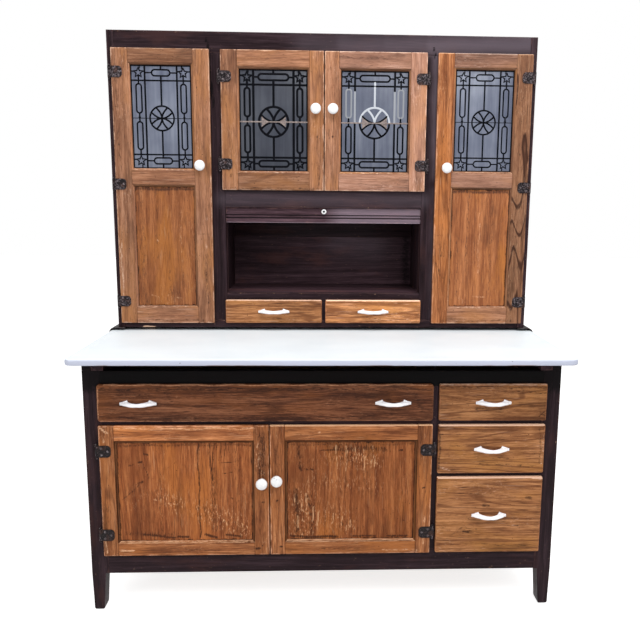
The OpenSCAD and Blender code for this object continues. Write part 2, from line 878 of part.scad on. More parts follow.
module door_leaf() {
    r = leaf_h / 3;
    near = -hinge_out + knuckle_r + seat_gap;
    pin_y = knuckle_r - leaf_t;
    screw_r = 2.8;
    screw_x = 7;
    screw_z = 10;
    screw_end = 9;
    screw_t = 0.9;
    difference() {
        union() {
            slab_xz(-leaf_t - joint_gap, -joint_gap) {
                translate([near, -leaf_h / 2]) square([leaf_l - r - near, leaf_h]);
                translate([leaf_l - r - 1, -leaf_h / 2 + r]) square([r + 1, leaf_h - 2 * r]);
                for (z = [-1, 1])
                    translate([leaf_l - r, z * (leaf_h / 2 - r)]) circle(r);
            }
            block([-hinge_out, -leaf_t - joint_gap, -barrel_h / 2 + knuckle_gap],
                  [near + 1, -joint_gap, barrel_h / 2 - knuckle_gap]);
            translate([-hinge_out, pin_y - joint_gap, -barrel_h / 2 + knuckle_gap])
            cylinder(h = barrel_h - 2 * knuckle_gap, r = knuckle_r);
            for (p = [[screw_x, -screw_z], [screw_x, screw_z], [leaf_l - screw_end, 0]])
                translate([p[0], -leaf_t, p[1]])
                rotate([90, 0, 0]) cylinder(h = screw_t, r = screw_r);
        }
        translate([-hinge_out, pin_y - joint_gap, -leaf_h])
        cylinder(h = 2 * leaf_h, r = pin_r + pin_gap);
    }
}

module frame_leaf() {
    pin_y = knuckle_r - leaf_t - joint_gap;
    plate_y = front_proud - joint_gap;
    web = 2;
    plate_out = 6.5;
    plate_in = 4.5;
    translate([-hinge_out, pin_y, 0]) {
        for (z = [-leaf_h / 2, barrel_h / 2])
            translate([0, 0, z]) cylinder(h = barrel_h, r = knuckle_r);
        cylinder(h = leaf_h + 2 * finial_r, r = pin_r, center = true);
        for (z = [-1, 1])
            translate([0, 0, z * (leaf_h / 2 + finial_r * 0.8)]) sphere(finial_r);
    }
    for (z = [-leaf_h / 2, barrel_h / 2])
        block([-hinge_out - web, pin_y, z], [-hinge_out + web, plate_y, z + barrel_h]);
    block([-hinge_out - plate_out, plate_y - leaf_t, -leaf_h / 2],
          [-hinge_out + plate_in, plate_y, leaf_h / 2]);
}

side_hinges = [
    small_z0 + side_hinge_end, small_z0 + side_hinge_mid, center_z1 - side_hinge_end
];
center_hinges = [center_z0 + center_hinge_end, center_z1 - center_hinge_end];
low_hinges = [low_z0 + low_hinge_bottom, low_z1 - low_hinge_top];

module leaves(edge_x, s, zs, face) {
    color(iron_color)
    for (z = zs)
        hinge_place(edge_x, s, z, face) door_leaf();
}

module hinge_frame_leaves() {
    color(iron_color) {
        for (s = [-1, 1]) {
            for (z = side_hinges) hinge_place(s * side_door_out, s, z, hutch_y) frame_leaf();
            for (z = center_hinges) hinge_place(s * center_half, s, z, hutch_y) frame_leaf();
        }
        for (z = low_hinges) {
            hinge_place(fronts_x0, -1, z, front_y) frame_leaf();
            hinge_place(doors_x1, 1, z, front_y) frame_leaf();
        }
    }
}

// Turned knob, standing out of the face towards -Y
module knob(x, z, face) {
    r = knob_d / 2;
    head_h = r * 0.55;
    head_y = knob_l - head_h;
    color(enamel_color)
    translate([x, face - front_proud - joint_gap, z])
    rotate([90, 0, 0])
    rotate_extrude()
    polygon(concat(
        [[0, 0], [r * 0.62, 0], [r * 0.62, 2], [r * 0.5, 4.5], [r * 0.42, 7]],
        [for (i = [0:14]) let (a = -60 + 150 * i / 14) [r * cos(a), head_y + head_h * sin(a)]],
        [[0, knob_l]]
    ));
}

// Bow pull with a pointed foot at each end, standing out towards -Y
module pull(x, z, face) {
    tip_t = 2.5;
    steps = 12;
    half = pull_l / 2;
    inner = half - pull_foot;
    rise = pull_out - tip_t;
    rise_in = pull_out - pull_t;
    r_out = (half * half + rise * rise) / (2 * rise);
    r_in = (inner * inner + rise_in * rise_in) / (2 * rise_in);
    heights = [for (i = [-steps:steps]) let (t = abs(i / steps))
        pull_h / 2 * (0.78 + 0.22 * sin(180 * t)) * (1 - 0.75 * pow(t, 6))];
    color(enamel_color)
    translate([x, face - front_proud - joint_gap, z])
    intersection() {
        linear_extrude(pull_h, center = true)
        difference() {
            intersection() {
                translate([0, r_out - pull_out]) circle(r_out);
                translate([-half, -pull_out]) square([pull_l, pull_out]);
            }
            translate([0, r_in - rise_in]) circle(r_in);
        }
        slab_xz(-pull_out - 1, 1)
        polygon(concat(
            [for (i = [-steps:steps]) [half * i / steps, heights[i + steps]]],
            [for (i = [steps:-1:-steps]) [half * i / steps, -heights[i + steps]]]
        ));
    }
}

// Lipped front and open box; ox and oz are the frame's opening
module drawer(fx, fz, ox, oz, face, depth) {
    rear = face + front_t - front_proud;
    x0 = ox[0] + drawer_clear;
    x1 = ox[1] - drawer_clear;
    head_room = 4;
    bottom_up = 4;
    z0 = oz[0] + seat_gap;
    z1 = oz[1] - head_room;
    y0 = rear + joint_gap;
    y1 = rear + depth;
    color(oak_color) lipped_blank(fx[0], fx[1], fz[0], fz[1], face);
    color(inside_color) {
        block([x0, y0, z0], [x0 + board_t, y1, z1]);
        block([x1 - board_t, y0, z0], [x1, y1, z1]);
        block([x0 + board_t + joint_gap, y1 - board_t, z0], [x1 - board_t - joint_gap, y1, z1]);
        block([x0 + board_t + joint_gap, y0, z0 + bottom_up],
              [x1 - board_t - joint_gap, y1 - board_t - joint_gap, z0 + bottom_up + thin_t]);
    }
}

wide_x = [fronts_x0, doors_x1];
bank_x = [bank_x0, fronts_x1];
bank_ox = [mullion_x1, post_in];
bank_mid = (bank_x0 + fronts_x1) / 2;

module small_drawer(s) {
    near = s * divider_show / 2;
    far = s * small_half;
    o_near = s * (divider_show / 2 + lip);
    o_far = s * stile_in;
    drawer([min(near, far), max(near, far)], [small_z0, small_z1],
           [min(o_near, o_far), max(o_near, o_far)], [hutch_floor_z, small_z1 - lip],
           hutch_y, small_depth);
}

module small_pull(s) {
    pull(s * (divider_show / 2 + small_half) / 2, (small_z0 + small_z1) / 2, hutch_y);
}

module bank_drawer(z0, z1) {
    drawer(bank_x, [z0, z1], bank_ox, [z0 + lip, z1 - lip], front_y, drawer_depth);
}

module bank_pull(z0, z1) {
    pull(bank_mid, (z0 + z1) / 2, front_y);
}

module wide_drawer() {
    drawer(wide_x, [wide_z0, wide_z1], [-post_in, mullion_x0],
           [wide_z0 + lip, wide_z1 - lip], front_y, drawer_depth);
}

module wide_drawer_pulls() {
    for (x = [fronts_x0 + wide_pull_x, doors_x1 - wide_pull_x])
        pull(x, (wide_z0 + wide_z1) / 2, front_y);
}

module door_left_frame() side_frame(-1);
module door_left_glass() color(glass_color) side_infill(-1, 1, glass_t);
module door_left_panel() color(oak_color) side_infill(-1, 0, door_panel_t);
module door_left_knob() knob(-side_door_in - side_knob_x, small_z0 + side_knob_z, hutch_y);
module door_left_leaves() leaves(-side_door_out, -1, side_hinges, hutch_y);
module door_right_frame() side_frame(1);
module door_right_glass() color(glass_color) side_infill(1, 1, glass_t);
module door_right_panel() color(oak_color) side_infill(1, 0, door_panel_t);
module door_right_knob() knob(side_door_in + side_knob_x, small_z0 + side_knob_z, hutch_y);
module door_right_leaves() leaves(side_door_out, 1, side_hinges, hutch_y);
module door_center_left_frame() center_frame(-1);
module door_center_left_glass() center_glass(-1);
module door_center_left_knob() knob(-door_seam / 2 - center_knob_x, center_z0 + center_knob_z, hutch_y);
module door_center_left_leaves() leaves(-center_half, -1, center_hinges, hutch_y);
module door_center_right_frame() center_frame(1);
module door_center_right_glass() center_glass(1);
module door_center_right_knob() knob(door_seam / 2 + center_knob_x, center_z0 + center_knob_z, hutch_y);
module door_center_right_leaves() leaves(center_half, 1, center_hinges, hutch_y);
module base_door_left_frame()
    door_frame(fronts_x0, left_door_x1, [low_stile, low_stile], low_rails, front_y, [door_panel_t]);
module base_door_left_panel() low_panel(fronts_x0, left_door_x1);
module base_door_left_knob() knob(left_door_x1 - low_knob_x, low_z0 + low_left_knob_z, front_y);
module base_door_left_leaves() leaves(fronts_x0, -1, low_hinges, front_y);
module base_door_right_frame()
    door_frame(right_door_x0, doors_x1, [low_stile, low_stile], low_rails, front_y, [door_panel_t]);
module base_door_right_panel() low_panel(right_door_x0, doors_x1);
module base_door_right_knob() knob(right_door_x0 + low_knob_x, low_z0 + low_right_knob_z, front_y);
module base_door_right_leaves() leaves(doors_x1, 1, low_hinges, front_y);
module small_drawer_left() small_drawer(-1);
module small_drawer_left_pull() small_pull(-1);
module small_drawer_right() small_drawer(1);
module small_drawer_right_pull() small_pull(1);
module bank_drawer_top() bank_drawer(wide_z0, wide_z1);
module bank_drawer_top_pull() bank_pull(wide_z0, wide_z1);
module bank_drawer_middle() bank_drawer(bank_mid_z0, low_z1);
module bank_drawer_middle_pull() bank_pull(bank_mid_z0, low_z1);
module bank_drawer_bottom() bank_drawer(low_z0, bank_low_z1);
module bank_drawer_bottom_pull() bank_pull(low_z0, bank_low_z1);

base_posts();
base_panels();
base_front_rails();
base_partition();
base_floor_shelf();
base_side_rails();
drawer_runners();
hutch_sides();
hutch_top_bottom();
hutch_back();
hutch_face_frame();
hutch_partitions();
hutch_shelves();
tambour_tracks();
worktop_tracks();
hinge_frame_leaves();
worktop_enamel();
worktop_core();
worktop_battens();
tambour_rail();
tambour_slats();
tambour_button();
door_left_frame();
door_left_glass();
door_left_panel();
door_left_knob();
door_left_leaves();
door_right_frame();
door_right_glass();
door_right_panel();
door_right_knob();
door_right_leaves();
door_center_left_frame();
door_center_left_glass();
door_center_left_knob();
door_center_left_leaves();
door_center_right_frame();
door_center_right_glass();
door_center_right_knob();
door_center_right_leaves();
base_door_left_frame();
base_door_left_panel();
base_door_left_knob();
base_door_left_leaves();
base_door_right_frame();
base_door_right_panel();
base_door_right_knob();
base_door_right_leaves();
small_drawer_left();
small_drawer_left_pull();
small_drawer_right();
small_drawer_right_pull();
wide_drawer();
wide_drawer_pulls();
bank_drawer_top();
bank_drawer_top_pull();
bank_drawer_middle();
bank_drawer_middle_pull();
bank_drawer_bottom();
bank_drawer_bottom_pull();
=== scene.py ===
"""Visual model of a hoosier cabinet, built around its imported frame."""

import json
import math
import random

import bmesh
import bpy
import numpy as np
from mathutils import Matrix, Vector

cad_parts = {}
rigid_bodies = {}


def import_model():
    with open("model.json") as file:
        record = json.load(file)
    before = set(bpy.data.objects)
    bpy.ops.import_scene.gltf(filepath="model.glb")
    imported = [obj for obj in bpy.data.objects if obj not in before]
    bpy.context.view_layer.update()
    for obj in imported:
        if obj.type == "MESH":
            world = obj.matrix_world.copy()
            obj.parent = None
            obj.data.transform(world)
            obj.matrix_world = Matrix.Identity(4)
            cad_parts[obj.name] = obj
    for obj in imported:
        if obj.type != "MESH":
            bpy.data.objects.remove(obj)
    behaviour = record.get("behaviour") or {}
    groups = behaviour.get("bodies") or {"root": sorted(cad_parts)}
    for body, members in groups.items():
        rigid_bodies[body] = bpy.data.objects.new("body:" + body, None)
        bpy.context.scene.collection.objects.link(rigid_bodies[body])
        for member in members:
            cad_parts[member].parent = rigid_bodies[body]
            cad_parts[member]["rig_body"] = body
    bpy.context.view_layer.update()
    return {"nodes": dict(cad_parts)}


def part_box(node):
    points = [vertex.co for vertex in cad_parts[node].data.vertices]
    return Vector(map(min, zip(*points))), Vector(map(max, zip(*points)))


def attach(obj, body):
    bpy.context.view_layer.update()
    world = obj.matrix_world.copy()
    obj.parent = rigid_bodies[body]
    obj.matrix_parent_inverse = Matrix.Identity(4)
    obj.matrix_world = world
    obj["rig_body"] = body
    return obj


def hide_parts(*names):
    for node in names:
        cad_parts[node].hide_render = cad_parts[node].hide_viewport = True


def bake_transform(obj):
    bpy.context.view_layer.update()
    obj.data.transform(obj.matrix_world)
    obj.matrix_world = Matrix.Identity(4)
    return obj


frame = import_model()
NODES = frame["nodes"]
dice = random.Random(11)

# Lengths are in mm here, and become metres when a mesh is made
MM = 0.001
# A front's face stands this far before its case, its back this far, and rails keep a gap to stiles
PROUD, SEAT, GAP = 12, 0.3, 0.1
# How far a lipped front's back board lies inside its outline, and a pane's or panel's edge in a frame
LIP_INSET, REBATE = 9.5, 8
MOULD_W, MOULD_D = 6, 8
# Added to a board's place on a side that shows no worn edge, and for solids without any
UNWORN, NO_EDGE = 100, 1000
SHARP = math.radians(32)
SIDES = ("x-", "x+", "z-", "z+")
# Share of a unit cube's half width that its edges' rounding takes up
ROUNDING = 0.5


# Frame measures


def box(node):
    """Lowest and highest corner of a CAD node, in mm."""
    lo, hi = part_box(node)
    return lo / MM, hi / MM


def islands(node):
    """Boxes of the separate solids of a CAD node, in mm, in a fixed order."""
    mesh = NODES[node].data
    keys = {}
    ident = [keys.setdefault(tuple(round(c * 1e5) for c in v.co), len(keys)) for v in mesh.vertices]
    parent = list(range(len(keys)))

    def find(i):
        while parent[i] != i:
            parent[i] = parent[parent[i]]
            i = parent[i]
        return i

    for face in mesh.polygons:
        first = find(ident[face.vertices[0]])
        for v in face.vertices:
            parent[find(ident[v])] = first
    groups = {}
    for v in mesh.vertices:
        groups.setdefault(find(ident[v.index]), []).append(v.co / MM)
    boxes = [
        (Vector(min(p[i] for p in g) for i in range(3)), Vector(max(p[i] for p in g) for i in range(3)))
        for g in groups.values()
    ]
    return sorted(boxes, key=lambda b: [round(c, 1) for c in (*b[0], *b[1])])


HUTCH_Y = box("hutch_sides")[0].y
BASE_Y = box("base_posts")[0].y


# Mesh building


def ring_faces(count, rings, closed=False):
    """Faces round rings of points that follow one another, with an end on the first and last."""
    faces = []
    for ring in range(rings if closed else rings - 1):
        a, b = ring * count, (ring + 1) % rings * count
        for i in range(count):
            j = (i + 1) % count
            faces.append((a + i, a + j, b + j, b + i))
    if not closed:
        faces += [tuple(reversed(range(count))), tuple(range((rings - 1) * count, rings * count))]
    return faces


def rounded_cube():
    """Points and faces of a cube from -1 to 1 with rounded edges."""
    mesh = bmesh.new()
    bmesh.ops.create_cube(mesh, size=2)
    bmesh.ops.bevel(mesh, geom=mesh.edges[:], offset=ROUNDING, segments=2, profile=0.5, affect="EDGES")
    points = [tuple(v.co) for v in mesh.verts]
    faces = [tuple(v.index for v in f.verts) for f in mesh.faces]
    mesh.free()
    return points, faces


CUBE_POINTS, CUBE_FACES = rounded_cube()


def linked(name, data):
    """New object in the scene."""
    obj = bpy.data.objects.new(name, data)
    bpy.context.scene.collection.objects.link(obj)
    return obj


class Work:
    """The solids of one object, in mm, with what its material needs of each point."""

    def __init__(self):
        self.points, self.faces, self.smooth, self.finish = [], [], [], []
        self.rows = {"grain": [], "board": [], "mark": [], "seed": [], "tone": []}

    def add(self, points, faces, grain, size, seed=0.0, tone=0.0, smooth=False, finish=0,
            marks=None):
        """grain is each point's place along, across and into its board, and size that board's own."""
        start = len(self.points)
        self.points += [tuple(p) for p in points]
        self.faces += [tuple(start + i for i in f) for f in faces]
        self.smooth += [smooth] * len(faces)
        self.finish += [finish] * len(faces)
        self.rows["grain"] += [tuple(c * MM for c in g) for g in grain]
        self.rows["board"] += [tuple(c * MM for c in size)] * len(points)
        self.rows["mark"] += marks or [(0.0, 0.0, 0.0)] * len(points)
        self.rows["seed"] += [seed] * len(points)
        self.rows["tone"] += [tone] * len(points)

    def make(self, name, materials, body=None, replaces=()):
        mesh = bpy.data.meshes.new(name)
        mesh.from_pydata([Vector(p) * MM for p in self.points], [], self.faces)
        for material in materials:
            mesh.materials.append(material)
        mesh.polygons.foreach_set("use_smooth", self.smooth)
        mesh.polygons.foreach_set("material_index", self.finish)
        for key, values in self.rows.items():
            vector = key in ("grain", "board", "mark")
            layer = mesh.attributes.new(key, "FLOAT_VECTOR" if vector else "FLOAT", "POINT")
            flat = [c for v in values for c in v] if vector else values
            layer.data.foreach_set("vector" if vector else "value", flat)
        mesh.set_sharp_from_angle(angle=SHARP)
        mesh.update()
        obj = linked(name, mesh)
        if body:
            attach(obj, body)
        if replaces:
            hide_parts(*replaces)
        return obj


def board(work, lo, hi, grain=None, thick=None, edge=1.0, tone=0.0, hidden="", finish=0, seed=None):
    """Rounded board between two corners; hidden names the sides that show no worn edge, such as x-."""
    size = [hi[i] - lo[i] for i in range(3)]
    order = sorted(range(3), key=lambda i: -size[i])
    along = order[0] if grain is None else "xyz".index(grain)
    rest = [i for i in order if i != along]
    into = rest[1] if thick is None else "xyz".index(thick)
    across = rest[0] if rest[0] != into else rest[1]
    axes = (along, across, into)
    low = [UNWORN if "xyz"[i] + "-" in hidden else 0 for i in range(3)]
    high = [UNWORN if "xyz"[i] + "+" in hidden else 0 for i in range(3)]
    r = min(edge, min(size) * 0.3)
    points = [
        [(lo[i] + hi[i]) / 2 + math.copysign(size[i] / 2 - r * (1 - abs(p[i])) / ROUNDING, p[i])
         for i in range(3)]
        for p in CUBE_POINTS
    ]
    spots = [[p[i] - lo[i] + low[i] for i in axes] for p in points]
    whole = [size[i] + low[i] + high[i] for i in axes]
    seed = dice.random() if seed is None else seed
    work.add(points, CUBE_FACES, spots, whole, seed, tone, finish=finish)


def strokes_at(strokes, x, z, phase):
    """Share of each kind of stroke at points, with strokes as kind, start and end x and z, half width and
    strength, in mm.
    """
    found = np.zeros((3, len(x)))
    x = x + 1.6 * np.sin(z / 23 + phase) + 0.7 * np.sin(z / 7 + 2 * phase)
    z = z + 1.4 * np.sin(x / 19 + phase)
    for kind, x0, z0, x1, z1, half, strength in strokes:
        dx, dz = x1 - x0, z1 - z0
        t = np.clip(((x - x0) * dx + (z - z0) * dz) / max(dx * dx + dz * dz, 1e-6), 0, 1)
        away = np.hypot(x - x0 - t * dx, z - z0 - t * dz)
        found[kind] = np.maximum(found[kind], strength * np.exp(-((away / half) ** 2)))
    return [tuple(float(v) for v in row) for row in found.T]


def slab(work, rect, y0, y1, grain, tone, hidden="", seed=None, *, r, corner, step, strokes, finish=0,
         margin=0.0, lip=0.0):
    """Board with its face towards -Y cut into a fine grid, so that it can carry strokes.

    margin is how much of the face lies behind a moulding all round, and lip how much painted highlight
    its top edge gets, where light from above falls on it."""
    x0, x1, z0, z1 = rect
    wide, tall = x1 - x0, z1 - z0
    seed = dice.random() if seed is None else seed
    corner = max(corner, r)

    def lines(length):
        near = [0, 0.12 * r, 0.45 * r, r]
        if corner > r:
            near += [(r + corner) / 2, corner]
        n = max(2, round((length - 2 * corner) / step))
        middle = [corner + (length - 2 * corner) * i / n for i in range(1, n)]
        return near + middle + [length - v for v in reversed(near)]

    us, vs = lines(wide), lines(tall)
    points = []
    low = {side: UNWORN if side in hidden else -margin for side in SIDES}
    for v in vs:
        for u in us:
            dx, dz = min(u, wide - u), min(v, tall - v)
            a, b = corner - dx, corner - dz
            edge = min(dx, dz)
            if a > 0 and b > 0:
                m = max(a, b)
                share = m / math.hypot(a, b)
                edge = corner - m
                dx, dz = corner - a * share, corner - b * share
            sink = r - math.sqrt(max(r * r - max(r - edge, 0) ** 2, 0))
            points.append((
                x0 + dx if u <= wide / 2 else x1 - dx, y0 + sink, z0 + dz if v <= tall / 2 else z1 - dz,
            ))
    n, m = len(us), len(vs)
    faces = [
        (j * n + i, j * n + i + 1, (j + 1) * n + i + 1, (j + 1) * n + i)
        for j in range(m - 1) for i in range(n - 1)
    ]
    ring = list(range(n)) + [j * n + n - 1 for j in range(1, m)]
    ring += [(m - 1) * n + i for i in range(n - 2, -1, -1)] + [j * n for j in range(m - 2, 0, -1)]
    start = len(points)
    points += [(points[i][0], y1, points[i][2]) for i in ring]
    count = len(ring)
    for k in range(count):
        j = (k + 1) % count
        faces.append((ring[k], start + k, start + j, ring[j]))
    faces.append(tuple(range(start + count - 1, start - 1, -1)))
    turn = 1 if grain == "x" else -1
    spots = [((x - x0 + low["x-"], z - z0 + low["z-"])[::turn] + (y - y0,)) for x, y, z in points]
    size = (wide + low["x-"] + low["x+"], tall + low["z-"] + low["z+"])
    whole = size[::turn] + (y1 - y0 + UNWORN,)
    at = np.array(points)
    # The top edge's pale share from lip is a painted highlight
    marks = [
        (dark, max(pale, lip * (z > z1 - 0.5 * r)), flecks)
        for (dark, pale, flecks), z in zip(strokes_at(strokes, at[:, 0], at[:, 2], seed * 6), at[:, 2])
    ]
    work.add(points, faces, spots, whole, seed, tone, True, finish, marks)


def prism(work, outline, place, start, end, tone=0.0, smooth=True, worn=True):
    """Solid of a closed outline swept straight; place gives the point of way, a and b."""
    points, spots = [], []
    a0, b0 = min(p[0] for p in outline), min(p[1] for p in outline)
    a1, b1 = max(p[0] for p in outline), max(p[1] for p in outline)
    off = 0 if worn else UNWORN
    for way in (start, end):
        for a, b in outline:
            points.append(place(way, a, b))
            spots.append((way - start + off, a - a0 + off, b - b0))
    size = (end - start + 2 * off, a1 - a0 + 2 * off, b1 - b0)
    work.add(points, ring_faces(len(outline), 2), spots, size, dice.random(), tone, smooth)


def moulding(work, rect, profile, face, tones, rubbed=0.0):
    """Mitred frame round an opening: profile points are way out of the opening and depth.

    tones run from the bottom side round by the right; rubbed is how much painted highlight the bottom one
    gets, as it faces up into the light."""
    x0, x1, z0, z1 = rect
    faces = ring_faces(len(profile), 2)

    def corners(out):
        return [(x0 - out, z0 - out), (x1 + out, z0 - out), (x1 + out, z1 + out), (x0 - out, z1 + out)]

    for side in range(4):
        points, spots = [], []
        for end in (side, (side + 1) % 4):
            for out, depth in profile:
                x, z = corners(out)[end]
                points.append((x, face + depth, z))
                spots.append((abs(z if side % 2 else x) + UNWORN, out + UNWORN, depth))
        # Painted highlight on the bottom side, in the pale share
        marks = [(0.0, 0.0 if side else rubbed, 0.0)] * len(points)
        work.add(points, faces, spots, (3000, 400, MOULD_D), dice.random(), tones[side], True, 0, marks)


def lathe(work, profile, center, steps, finish=0):
    """Turned solid; profile points are radius and height towards -Y."""
    points, spots, rings = [], [], []
    for radius, height in profile:
        ring = []
        for i in range(1 if radius < 1e-6 else steps):
            a = 2 * math.pi * i / steps
            u, v = radius * math.cos(a), radius * math.sin(a)
            ring.append(len(points))
            points.append((center[0] + u, center[1] - height, center[2] + v))
            spots.append((u + UNWORN, v + UNWORN, height + UNWORN))
        rings.append(ring)
    faces = []
    for a, b in zip(rings, rings[1:]):
        for i in range(steps):
            j = (i + 1) % steps
            if len(a) == 1:
                faces.append((a[0], b[i], b[j]))
            elif len(b) == 1:
                faces.append((a[i], b[0], a[j]))
            else:
                faces.append((a[i], b[i], b[j], a[j]))
    if len(rings[0]) > 1:
        faces.append(tuple(reversed(rings[0])))
    if len(rings[-1]) > 1:
        faces.append(tuple(rings[-1]))
    work.add(points, faces, spots, (300, 300, 300), dice.random(), 0.0, True, finish)


RIBBON = [(-1.0, 0.0), (-0.75, 0.62), (-0.3, 0.95), (0.3, 0.95), (0.75, 0.62), (1.0, 0.0)]


def ribbon(work, path, width, height, y, closed=False, tone=0.0):
    """Half-round strip along points x, z, standing out of a pane towards -Y.

    On a pane's back the height is negative and the points come the other way round."""
    n = len(path)
    points = []
    for i, (x, z) in enumerate(path):
        before = path[i - 1] if closed or i else None
        after = path[(i + 1) % n] if closed or i < n - 1 else None
        normals = []
        for a, b in ((before, (x, z)), ((x, z), after)):
            if a is not None and b is not None:
                d = math.hypot(b[0] - a[0], b[1] - a[1])
                normals.append((-(b[1] - a[1]) / d, (b[0] - a[0]) / d))
        nx, nz = sum(v[0] for v in normals), sum(v[1] for v in normals)
        if len(normals) == 2:
            turn = 1 + normals[0][0] * normals[1][0] + normals[0][1] * normals[1][1]
            nx, nz = nx / max(turn, 0.5), nz / max(turn, 0.5)
        for a, h in RIBBON:
            points.append((x + nx * a * width / 2, y - h * height, z + nz * a * width / 2))
    spots = [(p[0] + NO_EDGE, p[2], y - p[1]) for p in points]
    work.add(points, ring_faces(len(RIBBON), n, closed), spots, (3000, 3000, 1), 0.0, tone, True)


def on_circle(center, r, degrees):
    a = math.radians(degrees)
    return center[0] + r * math.cos(a), center[1] + r * math.sin(a)


def arc_points(center, r, start, end, steps):
    """Points along an arc between two angles in degrees."""
    return [on_circle(center, r, start + (end - start) * i / steps) for i in range(steps + 1)]


def rounded_rect(x0, x1, z0, z1, r, steps):
    """Points of a rectangle with round corners, counter-clockwise from the lower left."""
    a0, a1, b0, b1 = x0 + r, x1 - r, z0 + r, z1 - r
    corners = (((a0, b0), 180), ((a1, b0), 270), ((a1, b1), 0), ((a0, b1), 90))
    return [p for center, start in corners for p in arc_points(center, r, start, start + 90, steps)]


def stack(work, sections, place, tone=0.0, smooth=True, spot=None, size=(3000, 3000, 2000),
          mark=None):
    """Solid through sections of equal length, each a list of points and a level.

    mark gives the dark, pale and fleck share of a point."""
    points = [place(a, b, level) for outline, level in sections for a, b in outline]
    spots = [spot(p) if spot else (p[0] + NO_EDGE, p[1] + NO_EDGE, p[2]) for p in points]
    faces = ring_faces(len(sections[0][0]), len(sections))
    marks = [mark(p) for p in points] if mark else None
    work.add(points, faces, spots, size, dice.random(), tone, smooth, 0, marks)


# Materials


def srgb(r, g, b):
    """Linear colour of a tone given as it looks on a screen, 0 to 255."""
    def linear(c):
        c /= 255
        return c / 12.92 if c <= 0.04045 else ((c + 0.055) / 1.055) ** 2.4
    return linear(r), linear(g), linear(b), 1


class Graph:
    """Nodes of a material, or of the world."""

    def __init__(self, owner):
        owner.use_nodes = True
        self.owner, self.tree = owner, owner.node_tree
        self.tree.nodes.clear()

    def node(self, kind, plugs=(), **props):
        """New node; plugs are the values or sources of its sockets, by name or number."""
        made = self.tree.nodes.new("ShaderNode" + kind)
        for key, value in props.items():
            setattr(made, key, value)
        for key, value in dict(plugs).items():
            self.plug(made.inputs[key], value)
        return made

    def plug(self, socket, value):
        if isinstance(value, bpy.types.NodeSocket):
            self.tree.links.new(value, socket)
        else:
            socket.default_value = value

    def attribute(self, name, output="Vector"):
        return self.node("Attribute", attribute_name=name).outputs[output]

    def place(self):
        return self.node("TexCoord").outputs["Object"]

    def split(self, vector):
        return self.node("SeparateXYZ", {0: vector}).outputs

    def combine(self, x, y, z):
        return self.node("CombineXYZ", {0: x, 1: y, 2: z}).outputs[0]

    def math(self, operation, a, b=0):
        return self.node("Math", {0: a, 1: b}, operation=operation).outputs[0]

    def plus(self, a, b):
        return self.math("ADD", a, b)

    def minus(self, a, b):
        return self.math("SUBTRACT", a, b)

    def times(self, a, b):
        return self.math("MULTIPLY", a, b)

    def vector(self, operation, a, b):
        return self.node("VectorMath", {0: a, 1: b}, operation=operation).outputs[0]

    def noise(self, at, scale, detail=2, rough=0.5, twist=0):
        plugs = {"Vector": self.vector("MULTIPLY", at, scale), "Scale": 1, "Detail": detail,
                 "Roughness": rough, "Distortion": twist}
        return self.node("TexNoise", plugs).outputs["Fac"]

    def spread(self, value, low, high, a=0, b=1):
        """a where value is low, b where it is high, and smooth between."""
        plugs = {"Value": value, "From Min": low, "From Max": high, "To Min": a, "To Max": b}
        return self.node("MapRange", plugs, interpolation_type="SMOOTHSTEP").outputs[0]

    def ramp(self, value, *stops):
        """Colour of a value; stops are positions and screen tones."""
        made = self.node("ValToRGB", {0: value})
        elements = made.color_ramp.elements
        while len(elements) < len(stops):
            elements.new(0.5)
        for element, (position, color) in zip(elements, stops):
            element.position = position
            element.color = srgb(*color)
        return made.outputs["Color"]

    def mix(self, share, color, tint):
        """Color with a share of a screen tone."""
        plugs = {0: share, 6: color, 7: srgb(*tint)}
        return self.node("Mix", plugs, data_type="RGBA", clamp_factor=True).outputs[2]

    def over(self, color, tint, *spread):
        """Color with a tint over it; spread is a value and the numbers that say where the tint shows."""
        return self.mix(self.spread(*spread), color, tint)

    def color(self, value):
        self.plug(self.shader.inputs["Base Color"], value)

    def finish(self, color, roughness, bump):
        """The material, from its colour, what spread() makes its roughness of, and its bump's values."""
        self.color(color)
        self.plug(self.shader.inputs["Roughness"], self.spread(*roughness))
        height = self.node("Bump", dict(zip(("Height", "Strength", "Distance"), bump))).outputs[0]
        self.plug(self.shader.inputs["Normal"], height)
        return self.owner

    def seen(self, first, *others):
        """1 for the named kinds of ray, and 0 for the rest."""
        path = self.node("LightPath").outputs
        share = path[first]
        for name in others:
            share = self.math("MAXIMUM", share, path[name])
        return share

    def edge(self):
        """Distance of a board's surface point from the nearest edge of that board, in metres."""
        p, size = self.attribute("grain"), self.attribute("board")
        near = self.split(self.vector("MINIMUM", p, self.vector("SUBTRACT", size, p)))
        low = self.math("MINIMUM", near[0], near[1])
        high = self.math("MAXIMUM", near[0], near[1])
        return self.math("MAXIMUM", low, self.math("MINIMUM", high, near[2]))

    def board_place(self):
        """Place in the board, moved by a board's own seed."""
        seed = self.attribute("seed", "Fac")
        shift = self.vector("MULTIPLY", self.combine(seed, seed, seed), (17, 5.3, 9.1))
        return self.vector("ADD", self.attribute("grain"), shift)

    def bent(self, at, sway):
        """Place in the board along grain that sways to its sides."""
        return self.vector("ADD", at, self.combine(0, self.times(self.noise(at, sway), 0.05), 0))

    def rubbed(self, at, scale, middle, depth):
        """Ragged distance from a board's edge."""
        ragged = self.minus(middle, self.noise(at, scale, 4, 0.65))
        return self.plus(self.edge(), self.times(ragged, depth))

    def toned(self, color):
        """Color made lighter or darker by a board's own tone, which is 0 for no change."""
        plugs = {"Value": self.plus(self.attribute("tone", "Fac"), 1), "Color": color}
        return self.node("HueSaturation", plugs).outputs[0]


def new_material(name, **sockets):
    """Graph of a material; keyword names are its Principled shader's sockets, with _ for a space."""
    g = Graph(bpy.data.materials.new(name))
    g.shader = g.node("BsdfPrincipled", {key.replace("_", " "): value for key, value in sockets.items()})
    g.node("OutputMaterial", {"Surface": g.shader.outputs[0]})
    return g


